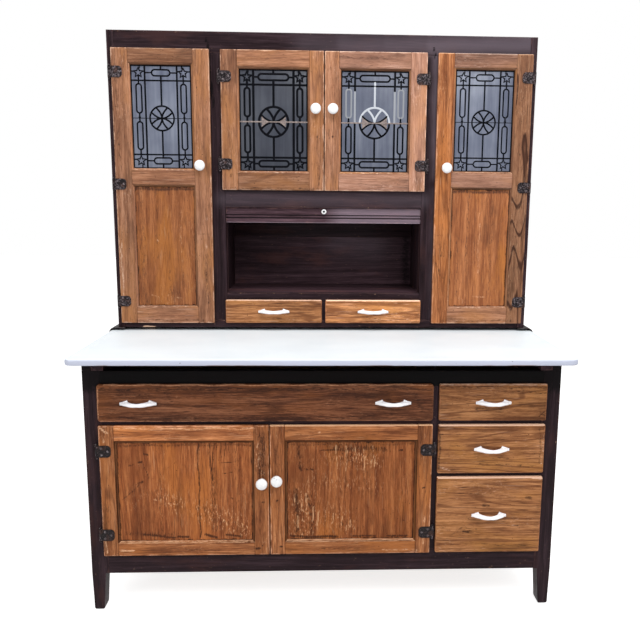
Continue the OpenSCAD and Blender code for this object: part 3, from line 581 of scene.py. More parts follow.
def marked(g, at, color, dark, pale):
    """Color with a board's own dark and pale strokes laid over it, broken up by noise."""
    share = g.split(g.attribute("mark"))
    ragged = g.minus(g.noise(at, (70, 300, 300), 4, 0.75), 0.5)
    for channel, tint in ((0, dark), (1, pale)):
        rough = g.plus(share[channel], g.times(ragged, 2.2))
        there = g.spread(share[channel], 0.02, 0.3)
        color = g.mix(g.times(g.spread(rough, 0.2, 0.85, 0, 0.92), there), color, tint)
    return color


def oak(name, dark, mid, light, worn, grime, rim, amber, figure=0.5, streak=0.5, half=0.115,
        wave=0.8):
    """Aged oak with its figure, pores, stains, scratches and rubbed edges.

    rim is the edges' colour, half the spread of the grain, where less is more contrast, and wave how
    fast its rings bend along the board."""
    g = new_material(name, Specular_IOR_Level=0.12, IOR=1.4)
    at = g.board_place()
    bent = g.bent(at, (1.1, 7, 7))
    wide = g.noise(bent, (2.2, 62, 62), 3, 0.6)
    fibre = g.noise(bent, (16, 280, 280), 5, 0.75)
    pores = g.noise(bent, (40, 900, 900), 1)
    both = g.plus(g.times(wide, 0.42), g.times(fibre, 0.58))
    color = g.ramp(both, (0.5 - half, dark), (0.5, mid), (0.5 + half, light))
    warm = g.noise(at, (3.5, 9, 9), 3, 0.6)
    color = g.over(color, amber, warm, 0.46, 0.68, 0, 0.7)
    color = g.over(color, dark, warm, 0.3, 0.46, 0.5, 0)
    swirl = g.noise(at, (wave, 11, 11), 2, 0.45, 0.25)
    rings = g.math("SINE", g.times(swirl, 70))
    color = g.over(color, dark, rings, 0.72, 1, 0, figure)
    vein = g.noise(bent, (3, 130, 130), 2, 0.5)
    thin = g.math("ABSOLUTE", g.minus(vein, 0.5))
    broken = g.spread(g.noise(at, (6, 25, 25), 2), 0.46, 0.6)
    color = g.mix(g.times(g.spread(thin, 0, 0.022, streak, 0), broken), color, grime)
    color = g.over(color, grime, pores, 0.6, 0.72, 0, 0.6)
    stain = g.noise(at, (4, 16, 16), 5, 0.65)
    color = g.over(color, grime, stain, 0.52, 0.72, 0, 0.5)
    flecks = g.noise(at, (75, 250, 250), 3, 0.65)
    spots = g.noise(at, (7, 13, 13), 3, 0.6)
    dense = g.math("MAXIMUM", g.spread(spots, 0.5, 0.68, 0, 0.3), g.split(g.attribute("mark"))[2])
    color = g.mix(g.times(g.spread(flecks, 0.56, 0.66), dense), color, worn)
    color = g.mix(g.times(g.spread(flecks, 0.36, 0.45, 0.75, 0), dense), color, grime)
    lines = g.noise(g.vector("ADD", at, (3, 1, 0)), (9, 420, 9), 1)
    patch = g.noise(at, (10, 12, 12), 2)
    scratch = g.times(g.spread(lines, 0.66, 0.7), g.spread(patch, 0.5, 0.6))
    color = g.mix(g.times(scratch, 0.3), color, worn)
    speck = g.noise(at, (170, 230, 230), 2)
    color = g.over(color, grime, speck, 0.7, 0.74, 0, 0.8)
    color = g.over(color, rim, g.rubbed(at, (26, 70, 70), 0.5, 0.016), 0, 0.0032, 0.9, 0)
    # Dark and pale strokes: grime, cracks, worn spots and chips, and on some boards painted shade and
    # painted highlights
    color = marked(g, at, color, grime, worn)
    return g.finish(
        g.toned(color), (g.plus(fibre, g.times(stain, 0.5)), 0.5, 1, 0.42, 0.62),
        (g.minus(both, g.spread(pores, 0.6, 0.72, 0, 0.4)), 0.35, 0.0016),
    )


def dark_case(name):
    """Nearly black stained case wood, rubbed red-brown on its edges, with pale nicks and, where its
    strokes say so, painted sheen and painted shade.
    """
    g = new_material(name, Specular_IOR_Level=0.06)
    at = g.board_place()
    bent = g.bent(at, (1.5, 8, 8))
    wide = g.noise(bent, (3, 70, 70), 3, 0.6)
    fibre = g.noise(bent, (14, 300, 300), 5, 0.75)
    both = g.plus(g.times(wide, 0.5), g.times(fibre, 0.5))
    color = g.ramp(both, (0.36, (22, 13, 16)), (0.51, (39, 27, 31)), (0.66, (60, 45, 50)))
    cloud = g.noise(at, (3.5, 12, 12), 5, 0.65)
    color = g.over(color, (66, 42, 40), cloud, 0.52, 0.7, 0, 0.55)
    reach = g.rubbed(at, (22, 60, 60), 0.52, 0.02)
    color = g.over(color, (84, 60, 58), reach, 0, 0.0035, 0.45, 0)
    nick = g.noise(at, (90, 190, 190), 3, 0.6)
    close = g.spread(g.edge(), 0.0015, 0.008, 1, 0.15)
    chip = g.times(g.spread(nick, 0.68, 0.71), close)
    color = g.mix(g.times(chip, 0.85), color, (184, 146, 120))
    # The third mark share paints a blue-grey sheen: painted reflection on the case
    color = g.mix(g.split(g.attribute("mark"))[2], color, (122, 110, 120))
    # Dark strokes are cracks, and also painted shade on post tops under the worktop, in the lead rail's
    # groove and on the niche's back
    color = marked(g, at, color, (10, 6, 8), (206, 168, 142))
    return g.finish(
        g.toned(color), (g.plus(fibre, cloud), 0.8, 1.3, 0.36, 0.56),
        (g.minus(both, g.times(chip, 0.6)), 0.35, 0.0016),
    )


def inside_wood(name):
    """Plain dusty wood of drawer boxes, runners and shelves."""
    g = new_material(name, Specular_IOR_Level=0.3)
    at = g.board_place()
    fibre = g.noise(at, (8, 200, 200), 4, 0.6)
    color = g.ramp(fibre, (0.3, (104, 74, 50)), (0.5, (142, 106, 74)), (0.72, (170, 132, 94)))
    stain = g.noise(at, (6, 12, 12), 4, 0.6)
    color = g.over(color, (84, 62, 46), stain, 0.5, 0.75, 0, 0.6)
    color = g.over(color, (96, 70, 50), g.edge(), 0, 0.002, 0.5, 0)
    return g.finish(g.toned(color), (fibre, 0.3, 0.7, 0.6, 0.78), (fibre, 0.3, 0.001))


def enamel(name):
    """White enamelled worktop, faintly clouded, with a few dark chips at its rim."""
    g = new_material(name, Specular_IOR_Level=0.3, Coat_Weight=0.08, Coat_Roughness=0.3)
    at = g.place()
    cloud = g.noise(at, (5, 9, 9), 4, 0.6)
    color = g.ramp(cloud, (0.35, (237, 245, 250)), (0.65, (241, 248, 252)))
    height = g.split(at)[2]
    color = g.over(color, (184, 189, 206), height, 0.7782, 0.7803, 1, 0)
    low = g.noise(at, (9, 9, 30), 3, 0.6)
    rust = g.times(g.spread(height, 0.7635, 0.767, 1, 0), g.spread(low, 0.45, 0.6))
    color = g.mix(rust, color, (120, 96, 84))
    chip = g.noise(at, (70, 70, 90), 2, 0.6)
    near = g.spread(height, 0.7795, 0.7807, 1, 0)
    color = g.mix(g.times(g.spread(chip, 0.73, 0.75), near), color, (52, 46, 48))
    return g.finish(color, (cloud, 0.3, 0.7, 0.4, 0.5), (g.noise(at, (60, 60, 60), 2), 0.05, 0.001))


def porcelain(name, shade, white):
    """White glaze of knobs and pulls with small dark chips and grey rubbing."""
    g = new_material(name, Specular_IOR_Level=0.45, Coat_Weight=0.25, Coat_Roughness=0.15)
    at = g.place()
    cloud = g.noise(at, (60, 60, 60), 3, 0.6)
    color = g.ramp(cloud, (0.35, shade), (0.6, white))
    chip = g.noise(at, (210, 210, 210), 2, 0.55)
    color = g.over(color, (58, 50, 50), chip, 0.72, 0.745)
    smear = g.noise(at, (35, 35, 120), 3, 0.6)
    color = g.over(color, (178, 172, 168), smear, 0.62, 0.8, 0, 0.35)
    return g.finish(
        color, (cloud, 0.3, 0.7, 0.16, 0.3),
        (g.times(g.spread(chip, 0.7, 0.75), -1), 0.4, 0.0006),
    )


def iron(name, dark, light, metal=0.55):
    """Dark worn iron with rust in its hollows."""
    g = new_material(name, Metallic=metal, Specular_IOR_Level=0.15)
    at = g.place()
    grit = g.noise(at, (220, 220, 220), 3, 0.7)
    patch = g.noise(at, (60, 60, 60), 3, 0.6)
    color = g.ramp(grit, (0.5, dark), (0.7, light))
    color = g.over(color, (74, 50, 42), patch, 0.5, 0.72, 0, 0.6)
    return g.finish(color, (patch, 0.3, 0.7, 0.34, 0.62), (grit, 0.35, 0.0008))


def pane_glass(name):
    """Frosted pane: blue-grey, faintly streaked and a little see-through."""
    g = new_material(name, Alpha=0.9, Specular_IOR_Level=0.3, Coat_Weight=0.06, Coat_Roughness=0.12)
    at = g.place()
    grain = g.noise(at, (900, 900, 900), 2, 0.6)
    streak = g.noise(at, (75, 75, 4), 3, 0.6)
    cloud = g.noise(at, (9, 9, 6), 3, 0.6)
    both = g.plus(g.times(streak, 0.4), g.times(cloud, 0.6))
    color = g.ramp(both, (0.32, (70, 75, 92)), (0.5, (91, 96, 111)), (0.68, (114, 119, 132)))
    color = g.over(color, (140, 144, 156), grain, 0.6, 0.8, 0, 0.35)
    return g.finish(g.toned(color), (grain, 0.3, 0.7, 0.32, 0.5), (grain, 0.2, 0.0004))


def lead_lines(name):
    """Black came lines, with a painted glint where a line's own tone is raised."""
    g = new_material(name, Specular_IOR_Level=0.06)
    at = g.place()
    grit = g.noise(at, (500, 500, 500), 3, 0.6)
    color = g.ramp(grit, (0.35, (3, 4, 8)), (0.65, (10, 11, 18)))
    # A raised tone mixes in a pale grey: a painted glint of light on the lines
    glint_share = g.attribute("tone", "Fac")
    color = g.mix(glint_share, color, (214, 218, 226))
    return g.finish(color, (grit, 0.3, 0.7, 0.35, 0.5), (grit, 0.2, 0.0004))


def pale_strip(name):
    """Pale strip and petals in the middle of a centre pane."""
    g = new_material(name, Specular_IOR_Level=0.4)
    at = g.place()
    grit = g.noise(at, (240, 240, 240), 3, 0.6)
    color = g.ramp(grit, (0.35, (96, 84, 82)), (0.65, (142, 128, 122)))
    return g.finish(g.toned(color), (grit, 0.3, 0.7, 0.35, 0.55), (grit, 0.2, 0.0004))


HUTCH_OAK = oak("hutch_oak", (108, 70, 52), (156, 108, 80), (192, 142, 112),
                (226, 188, 162), (66, 43, 34), (206, 164, 138), (172, 116, 72), 0.4, 0.5, 0.145)
BASE_OAK = oak("base_oak", (98, 54, 32), (150, 92, 56), (190, 128, 84),
               (220, 172, 134), (52, 29, 21), (202, 146, 112), (176, 108, 58))
PANEL_OAK = oak("panel_oak", (108, 56, 32), (154, 89, 50), (192, 122, 74),
                (220, 168, 124), (60, 33, 22), (40, 23, 18), (184, 110, 54), 0.4, 0.6)
SOFT_OAK = oak("soft_oak", (112, 62, 40), (152, 94, 58), (184, 120, 78),
               (214, 164, 126), (84, 54, 42), (44, 26, 20), (176, 110, 54), 0.25, 0.5, 0.115)
BANK_OAK = oak("bank_oak", (104, 62, 38), (156, 104, 66), (190, 134, 90),
               (228, 186, 158), (58, 34, 24), (170, 112, 78), (172, 116, 62), 0.7, 0.7, 0.1)
# A darker copy of the oak, for the wide drawer: painted shade of the worktop's overhang
SHADED_OAK = oak("shaded_oak", (58, 32, 22), (94, 55, 36), (132, 84, 58),
               (186, 134, 100), (33, 20, 16), (140, 96, 72), (120, 70, 38), 0.5, 0.7, 0.088)
ROSE_OAK = oak("rose_oak", (116, 80, 66), (166, 121, 99), (202, 159, 139),
               (230, 198, 180), (74, 50, 42), (214, 174, 152), (180, 128, 92), 0.3, 0.4, 0.18)
BOLD_OAK = oak("bold_oak", (66, 40, 30), (134, 92, 68), (186, 140, 106),
               (212, 172, 140), (40, 25, 20), (170, 122, 94), (150, 104, 74), 0.95, 0.5, 0.2, 1.3)
CASE = dark_case("case_wood")
INSIDE = inside_wood("inside_wood")
ENAMEL = enamel("worktop_enamel_white")
PORCELAIN = porcelain("porcelain_white", (224, 224, 226), (238, 238, 237))
# A brighter copy of the porcelain for the pulls: painted light that makes up for the shade on their faces
PULL_WHITE = porcelain("pull_white", (244, 243, 247), (251, 250, 252))
# The hutch hinges' iron has paler speckles than the base hinges' iron: painted glints of light
IRON = iron("hinge_iron", (24, 19, 21), (122, 110, 114), 0.2)
BASE_IRON = iron("base_hinge_iron", (17, 12, 13), (66, 55, 56), 0.05)
SCREW = iron("screw_steel", (74, 66, 68), (146, 136, 138), 0.3)
STEEL = iron("track_steel", (66, 60, 60), (120, 114, 114), 0.7)
GLASS = pane_glass("frosted_glass")
LEAD = lead_lines("lead_lines")
PALE = pale_strip("pale_strip")


# Case


def wear_and_painted_light(dark, pale=(), third=()):
    """Strokes of one board with their kind: dark for grime, cracks and painted shade, pale for worn
    spots, chips and painted highlights, and flecks on oak, painted sheen on the case.

    A stroke is given as x and z of its start and end, half width in mm and strength."""
    return [(kind, *stroke) for kind, group in enumerate((dark, pale, third)) for stroke in group]


# Starts and ends in mm
# Hutch frame: the third group is painted sheen on the right of the top rail, down the stile between the
# two right-hand doors and along the middle rail
HUTCH_MARKS = wear_and_painted_light(
    [(-372, 1716, -356, 1505, 3, 1.5), (350, 1700, 356, 1668, 3, 1)],
    [(-602, 790.7, -566, 790.8, 2, 1.2)],
    [(-60, 1698, 680, 1714, 40, 0.15), (60, 1700, 680, 1714, 36, 0.26), (200, 1703, 680, 1714, 34, 0.3),
     (340, 1705, 680, 1714, 32, 0.4), (364, 1680, 372, 1300, 18, 0.37), (-330, 1219, 330, 1219, 26, 0.17),
     (370, 1250, 372, 830, 14, 0.16)],
)
BASE_MARKS = wear_and_painted_light(
    [(-600, 170, 600, 170, 5, 0.5)],
    [(-560, 131, -559, 131, 2.2, 0.9), (508, 127, 509, 127, 2.4, 1.2), (-610, 128, -609, 128, 1.8, 0.8)],
)
# Niche back: the dark band along its top is painted shade under the niche's top, the dark band by its
# right side is painted shade in that corner, and the third group is a faint painted sheen
BACK_MARKS = wear_and_painted_light(
    [(-330, 1165, 330, 1165, 26, 1), (312, 1140, 312, 915, 22, 0.7)],
    [],
    [(60, 1070, 180, 1050, 60, 0.1)],
)

# Heights that part the niche's boards from the others, and its half width
NICHE_LOW, NICHE_SHELF, NICHE_HIGH, NICHE_HALF = 890, 1000, 1245, 340


def dark_or_inside(lo, hi):
    """Finish of a shelf board: the niche's own boards are dark, the rest plain."""
    return 0 if NICHE_LOW < lo.z < NICHE_HIGH and lo.x > -NICHE_HALF and hi.x < NICHE_HALF else 1


def by_chance(lo):
    """Tone of a board that has none of its own."""
    return dice.uniform(-0.06, 0.06)


def shaded(lo):
    """Tone of a base board: the rail right under the worktop is made darker, as painted shade of the
    worktop.
    """
    return -0.93 if lo.z > 600 else by_chance(lo)


def side_tone(lo):
    """Tone of a hutch side: the right one catches more light."""
    return 0.7 if lo.x > 0 else 0.0


def guide_tone(lo):
    """Tone of a side rail: the guides beside the battens lie in the worktop's shade."""
    return -0.85 if lo.z > 700 and lo.y < BASE_Y + 1 else by_chance(lo)


def niche_tone(lo):
    """Tone of a hutch board: the niche floor is made lighter."""
    return 1.6 if NICHE_LOW < lo.z < NICHE_SHELF else by_chance(lo)


def body_of(node):
    return NODES[node]["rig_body"]


def rect_of(lo, hi):
    """Outline of a box seen from the front, as x0, x1, z0, z1."""
    return lo.x, hi.x, lo.z, hi.z


def boards_of(node, name, slot="case_wood", tone_of=by_chance, hidden="", pick=None):
    """Boards in place of a CAD node's boxes; pick tells dark from inside wood where both are used."""
    work = Work()
    for lo, hi in islands(node):
        finish = pick(lo, hi) if pick else 0
        board(work, lo, hi, edge=1.2, tone=tone_of(lo), hidden=hidden, finish=finish)
    finishes = [INSIDE] if slot == "inside_wood" else [CASE, INSIDE] if pick else [CASE]
    work.make(name, finishes, body_of(node), [node])


def faced_boards(node, name, strokes, tone_of=by_chance):
    """Case boards in place of a CAD node's boxes, with strokes on their fronts."""
    work = Work()
    for lo, hi in islands(node):
        grain = "x" if hi.x - lo.x > hi.z - lo.z else "z"
        slab(work, rect_of(lo, hi), lo.y, hi.y, grain, tone_of(lo), "x- x+", r=1.2, corner=1.2, step=6.0,
             strokes=strokes)
    work.make(name, [CASE], body_of(node), [node])


# Outer side and depth of a corner post
POST_X, POST_DEPTH = 686, 44


def leg_post(work, outer, y0, tone):
    """Corner post with a tapered, round-ended leg, mirrored by the sign of outer."""
    s = math.copysign(1, outer)
    top, leg_top, wide = 733, 118, 50
    leg, taper_in, taper_out, r = 40, 8, 3, 9
    low = leg - taper_in
    # The top 40 mm of each post is painted dark, as painted shade under the worktop; these levels add
    # grid lines near it
    shade = [top - 30, top - 75]
    outline = [(0, top), *((0, z) for z in shade), (0, leg_top)]
    outline += [(taper_out + r - r * math.cos(a), r - r * math.sin(a)) for a in quarter(6)]
    outline += [(low - r + r * math.sin(a), r - r * math.cos(a)) for a in quarter(6)]
    outline += [(leg, leg_top), (wide, leg_top), *((wide, z) for z in reversed(shade)), (wide, top)]
    sections = []
    for t in (0, 0.7, 2.5, 5.5, r):
        floor = r - math.sqrt(max(r * r - (r - t) ** 2, 0))
        inset = 1.2 if t == 0 else 0
        sections.append(([edge_in(p, floor, inset, wide, top) for p in outline], t))
    sections += [(section, POST_DEPTH - t) for section, t in reversed(sections)]
    base = min(outer, outer - s * wide)
    stack(
        work, sections, lambda a, b, level: (outer - s * a, y0 + level, b), tone, False,
        lambda p: (p[2], p[0] - base, p[1] - y0), (top, wide, POST_DEPTH),
        lambda p: (1.6 * (p[2] > top - 40), 0.0, 0.0),
    )


def quarter(steps):
    """Angles of a quarter turn."""
    return [math.pi / 2 * i / steps for i in range(steps + 1)]


def edge_in(point, floor, inset, wide, top):
    """Point of a post's outline, kept above a floor and in from the post's sides."""
    a = min(max(point[0], inset), wide - inset)
    return a, min(max(point[1], floor), top)


def posts():
    work = Work()
    for outer in (-POST_X, POST_X):
        leg_post(work, outer, BASE_Y, 0.0)
        leg_post(work, outer, box("base_posts")[1].y - POST_DEPTH, -0.1)
    work.make("posts", [CASE], "cabinet", ["base_posts"])


def case():
    posts()
    faced_boards("base_front_rails", "base_rails", BASE_MARKS, shaded)
    boards_of("base_panels", "base_sides", hidden="y- y+ z+")
    boards_of("base_partition", "base_partitions", hidden="z- z+")
    boards_of("base_side_rails", "base_inner_rails", tone_of=guide_tone)
    boards_of("base_floor_shelf", "base_shelves", "inside_wood")
    boards_of("drawer_runners", "runners", "inside_wood")
    boards_of("hutch_sides", "hutch_side_boards", tone_of=side_tone, hidden="z-")
    boards_of("hutch_top_bottom", "hutch_ends")
    faced_boards("hutch_back", "hutch_back_board", BACK_MARKS, lambda lo: 2.0)
    faced_boards("hutch_face_frame", "hutch_frame", HUTCH_MARKS)
    boards_of("hutch_partitions", "hutch_walls", tone_of=lambda lo: 0.6)
    boards_of("hutch_shelves", "hutch_shelf_boards", tone_of=niche_tone, pick=dark_or_inside)
    boards_of("worktop_battens", "battens", tone_of=lambda lo: 0.3)


# Worktop


def worktop():
    """Enamelled slab with a rolled edge and a faintly sunk field."""
    lo, hi = box("worktop_enamel")
    top, bottom, corner, r = hi.z, lo.z, 24, 7
    levels = [(4, bottom), (1.5, bottom + 0.7), (0.4, bottom + 1.9), (0, bottom + 4), (0, top - r)]
    levels += [(r - r * math.cos(a), top - r + r * math.sin(a)) for a in quarter(8)[1:]]
    levels += [(22, top), (25, top - 0.15), (29, top - 0.5), (33, top - 0.55)]
    sections = [
        (rounded_rect(lo.x + i, hi.x - i, lo.y + i, hi.y - i, max(corner - i, 3), 8), z)
        for i, z in levels
    ]
    work = Work()
    stack(work, sections, lambda a, b, z: (a, b, z))
    work.make("worktop", [ENAMEL], "worktop", ["worktop_enamel", "worktop_core"])


# Fronts


def opening(node):
    """Opening that a pane or panel fills, as x0, x1, z0, z1."""
    lo, hi = box(node)
    cut = REBATE - GAP
    return lo.x + cut, hi.x - cut, lo.z + cut, hi.z - cut


# Profiles of mouldings: way out of the opening, and depth
OVOLO = [(0, MOULD_D), (0, 5.6), (0, 5.5), (0.6, 3.4), (1.8, 1.8), (3.4, 0.8), (5.2, 0.5), (MOULD_W, 0.6),
         (MOULD_W, MOULD_D)]
BEAD = [(0, MOULD_D), (0, 5.0), (0.5, 3.6), (1.4, 2.7), (2.6, 2.4), (3.8, 2.7), (4.3, 3.5), (4.6, 4.2),
        (5.0, 2.6), (5.4, 0.9), (MOULD_W, 0.3), (MOULD_W, MOULD_D)]


def placed(rect, strokes):
    """Strokes in mm, from strokes given in hundredths of a rectangle's width and height."""
    x0, x1, z0, z1 = rect
    made = []
    for kind, u0, v0, u1, v1, half, strength in strokes:
        a, b = (x0 + (x1 - x0) * u / 100 for u in (u0, u1))
        c, d = (z0 + (z1 - z0) * v / 100 for v in (v0, v1))
        made.append((kind, a, c, b, d, half, strength))
    return made


# Starts and ends in hundredths of a front's width and height, from its lower left
# In the panel tables, the dark stroke right across near the top, at 97 or 98 hundredths, is painted
# shadow under the top moulding
E_PANEL = wear_and_painted_light(
    [(20, 88, 23, 87, 4, 0.8), (16, 80, 18, 80, 4, 0.9), (9, 77, 12, 78, 4, 0.6),
     (19, 79, 23, 63, 1.6, 0.9), (3, 43, 18, 61, 3, 0.6), (15, 59, 18, 60, 4, 0.8),
     (60, 99, 60, 3, 2.6, 0.9), (68, 99, 70, 63, 1.8, 1), (72, 99, 70, 62, 1.6, 1),
     (77, 99, 77, 84, 2, 0.8), (80, 99, 80, 86, 2, 0.8), (71, 72, 71, 12, 16, 0.45),
     (76, 79, 85, 79, 1.6, 0.8), (78, 68, 85, 69, 1.6, 0.8), (84, 43, 85, 42, 3, 0.9),
     (31, 74, 31, 9, 4, 0.5), (17, 6, 41, 3, 5, 0.8), (43, 4, 51, 3, 4, 0.9), (64, 6, 72, 3, 5, 0.9),
     (79, 5, 91, 3, 4, 0.8), (1, 97, 99, 97, 5, 0.55), (4, 8, 40, 6, 9, 0.4), (88, 92, 92, 30, 26, 0.3)],
    [(27, 42, 28, 41, 2, 0.8), (37, 39, 38, 38, 2, 0.8), (41, 38, 43, 37, 2, 0.7),
     (86, 19, 89, 13, 1.8, 0.5), (91, 8, 94, 12, 1.6, 0.5)],
    [(64, 30, 92, 12, 34, 0.9), (30, 46, 44, 36, 26, 0.8)],
)
F_PANEL = wear_and_painted_light(
    [(38, 94, 76, 92, 12, 0.6), (25, 91, 46, 91, 1.6, 1), (88, 91, 90, 91, 3.5, 0.9),
     (10, 73, 11, 71, 3, 0.9), (14, 73, 16, 72, 3, 0.9), (18, 73, 20, 72, 3, 0.9),
     (9, 96, 10, 74, 10, 0.55), (7, 50, 8, 8, 9, 0.65), (17, 44, 20, 6, 10, 0.55), (3, 3, 40, 2, 5, 0.8),
     (52, 3, 70, 2, 4, 0.8), (80, 3, 96, 2, 4, 0.8), (91, 19, 93, 18, 2, 0.8), (75, 31, 77, 30, 2, 0.8),
     (1, 97, 99, 97, 4, 0.5)],
    [(38, 96, 39, 72, 1.6, 0.8), (46, 94, 46, 70, 1.5, 0.8), (53, 96, 54, 78, 1.5, 0.7),
     (60, 93, 60, 68, 1.5, 0.8), (67, 95, 68, 74, 1.5, 0.7), (6, 46, 6, 38, 1.8, 0.9),
     (11, 40, 11, 30, 1.8, 0.9), (15, 48, 15, 36, 1.8, 0.9), (20, 34, 20, 20, 1.8, 0.9),
     (8, 24, 9, 12, 1.8, 0.9), (24, 28, 24, 14, 1.8, 0.8), (30, 30, 30, 22, 1.6, 0.8),
     (36, 26, 36, 16, 1.6, 0.8), (43, 24, 43, 14, 1.6, 0.8), (50, 20, 50, 12, 1.6, 0.8)],
    [(40, 88, 66, 82, 34, 1), (12, 42, 14, 10, 42, 1), (36, 26, 46, 14, 34, 0.8),
     (20, 60, 70, 54, 26, 0.5)],
)
# The dark stroke across at 98 hundredths is painted shadow under the top moulding, here and in D_PANEL
A_PANEL = wear_and_painted_light(
    [(8, 98, 10, 2, 22, 0.32), (36, 96, 34, 40, 5, 0.4), (2, 98, 98, 98, 6, 0.75),
     (55, 30, 57, 6, 4, 0.4)],
    [(36, 56, 37, 55, 2, 0.8), (60, 7, 74, 6, 3, 0.5), (76, 80, 76, 30, 5, 0.3), (20, 9, 34, 7, 2, 0.5)],
    [(50, 6, 50, 5, 30, 0.5)],
)
D_PANEL = wear_and_painted_light(
    [(30, 98, 28, 30, 5, 0.45), (72, 90, 70, 10, 6, 0.4), (2, 98, 98, 98, 6, 0.75),
     (12, 60, 14, 8, 6, 0.4)],
    [(50, 80, 50, 30, 6, 0.3), (44, 9, 66, 8, 3, 0.5)],
)
# The pale stroke along the top at 98 hundredths is a painted highlight on the top edge
E_FRAME = wear_and_painted_light(
    [(96, 92, 96, 58, 15, 0.6), (94, 56, 97, 50, 2.4, 1), (96.3, 41, 96.5, 41, 3, 1.2),
     (92, 5, 94, 5, 4, 1), (3, 40, 3, 10, 10, 0.35), (40, 5, 70, 4, 5, 0.4)],
    [(1, 99, 6, 95, 3, 0.9), (3, 97, 3, 88, 2, 0.7), (8, 98, 92, 98, 3, 0.55), (10, 5, 18, 4, 2.4, 0.9),
     (1, 12, 2, 3, 3, 0.7)],
    [(94, 84, 95, 62, 14, 0.9)],
)
F_FRAME = wear_and_painted_light(
    [(4.4, 42, 4.6, 42, 3, 1.2), (6, 6, 8, 6, 3, 0.9), (95, 52, 96, 52, 3, 0.9), (4, 84, 4, 58, 9, 0.4),
     (30, 4, 60, 4, 6, 0.4)],
    [(30, 95, 31, 95, 2.4, 0.9), (96, 30, 96, 8, 4, 0.5), (70, 3, 92, 2, 3, 0.6)],
)
A_FRAME = wear_and_painted_light(
    [(2, 34, 98, 34, 3, 0.4), (93, 26, 94, 8, 9, 0.45), (5, 96, 5, 60, 8, 0.35), (10, 1, 90, 1, 6, 0.45)],
    [(92, 30, 95, 28, 4, 0.35), (3, 30, 3, 6, 3, 0.6)],
)
D_FRAME = wear_and_painted_light(
    [(2, 34, 98, 34, 3, 0.4), (6, 31, 10, 26, 8, 0.5), (4, 66, 9, 72, 2, 0.5), (3, 24, 8, 19, 6, 0.4),
     (10, 1, 90, 1, 6, 0.4), (87, 62, 92, 72, 1.6, 0.45), (89, 62, 95, 75, 1.6, 0.45),
     (91, 63, 97, 77, 1.6, 0.4), (86, 34, 88, 46, 2, 0.45), (86, 31, 93, 45, 2, 0.45),
     (87, 28, 96, 44, 2, 0.4), (92, 84, 95, 97, 1.6, 0.4), (95, 82, 97, 95, 1.6, 0.35)],
)
B_FRAME = wear_and_painted_light(
    [(4, 90, 4, 60, 8, 0.4), (94, 20, 95, 4, 8, 0.4), (2, 1, 98, 1, 5, 0.45), (93, 39, 93.5, 39, 3, 1.3),
     (8, 18, 9, 10, 8, 0.4)],
)
C_FRAME = wear_and_painted_light(
    [(8.5, 39, 9, 39, 3, 1.3), (4, 44, 5, 36, 5, 0.5), (10, 96, 60, 95, 6, 0.4)],
)
# The dark band along the top is painted shadow of the worktop
DRAWER_1 = wear_and_painted_light(
    [(1, 93, 99, 91, 8, 0.5), (34, 34, 58, 32, 7, 0.5), (94, 22, 98, 14, 3, 0.9),
     (60, 82, 98, 76, 7, 0.45), (10, 60, 30, 56, 4, 0.35), (2, 26, 98, 24, 1.6, 0.4),
     (93, 12, 98, 26, 2.4, 0.8)],
)
DRAWER_2 = wear_and_painted_light(
    [(95, 92, 96, 20, 3, 0.5), (10, 60, 60, 50, 6, 0.4), (40, 20, 90, 14, 4, 0.5),
     (1, 90, 1.5, 10, 4, 0.7), (3, 82, 20, 80, 3, 0.6), (52, 34, 66, 30, 4, 0.5)],
    [(98, 80, 98, 20, 3, 0.4), (2, 14, 12, 8, 4, 0.4)],
)
DRAWER_3 = wear_and_painted_light(
    [(45, 62, 50, 62, 5, 0.9), (27, 29, 31, 28, 6, 0.9), (20, 30, 38, 31, 9, 0.35),
     (14, 22, 26, 36, 2.4, 0.5), (26, 36, 38, 24, 2.4, 0.5), (3, 34, 14, 30, 4, 0.4),
     (86, 73, 90, 72, 6, 0.7), (73, 36, 79, 35, 1.8, 0.6), (73, 25, 79, 25, 1.8, 0.6),
     (20, 80, 70, 74, 3, 0.4), (12, 50, 88, 44, 3, 0.4), (30, 12, 90, 8, 4, 0.4)],
    # Pale stroke on the right of the top edge: painted highlight
    [(90, 99.6, 99, 99.6, 4, 2)],
)
# The dark band near the top is painted shadow of the worktop, and the pale line along the top edge a
# painted highlight
WIDE = wear_and_painted_light(
    [(1, 88, 99, 88, 8, 0.5), (44, 60, 58, 20, 12, 0.35), (2, 10, 98, 8, 5, 0.4),
     (20, 80, 22, 60, 7, 0.4), (34, 84, 35, 66, 8, 0.4), (76, 84, 77, 60, 8, 0.4),
     (86, 80, 88, 20, 16, 0.35), (94, 76, 97, 30, 12, 0.4), (6, 76, 16, 70, 5, 0.5)],
    [(2, 99, 98, 99, 2, 0.7), (0.4, 90, 0.4, 10, 2, 0.7), (1, 1, 40, 1, 2, 0.6)],
)
SMALL = wear_and_painted_light(
    [(1, 6, 99, 6, 3, 0.4), (44, 26, 58, 20, 5, 0.5), (4, 60, 30, 66, 4, 0.3)],
)


def front_layers(work, rect, face, grain, outer, tone, finish, strokes, lip):
    """Board of a lipped front; outer names its sides on the front's own outline."""
    x0, x1, z0, z1 = rect
    seed = dice.random()
    inner = "".join(side + " " for side in SIDES if side not in outer)
    slab(work, rect, face - PROUD, face - SEAT, grain, tone, inner, seed, r=2.2, corner=2.2, step=4.5,
         strokes=strokes, finish=finish, lip=lip)
    inset = {side: LIP_INSET if side in outer else 0.5 for side in SIDES}
    board(
        work, (x0 + inset["x-"], face - 2 * SEAT, z0 + inset["z-"]),
        (x1 - inset["x+"], face + 8, z1 - inset["z+"]), grain, "y", 1.0, tone, inner, finish, seed,
    )


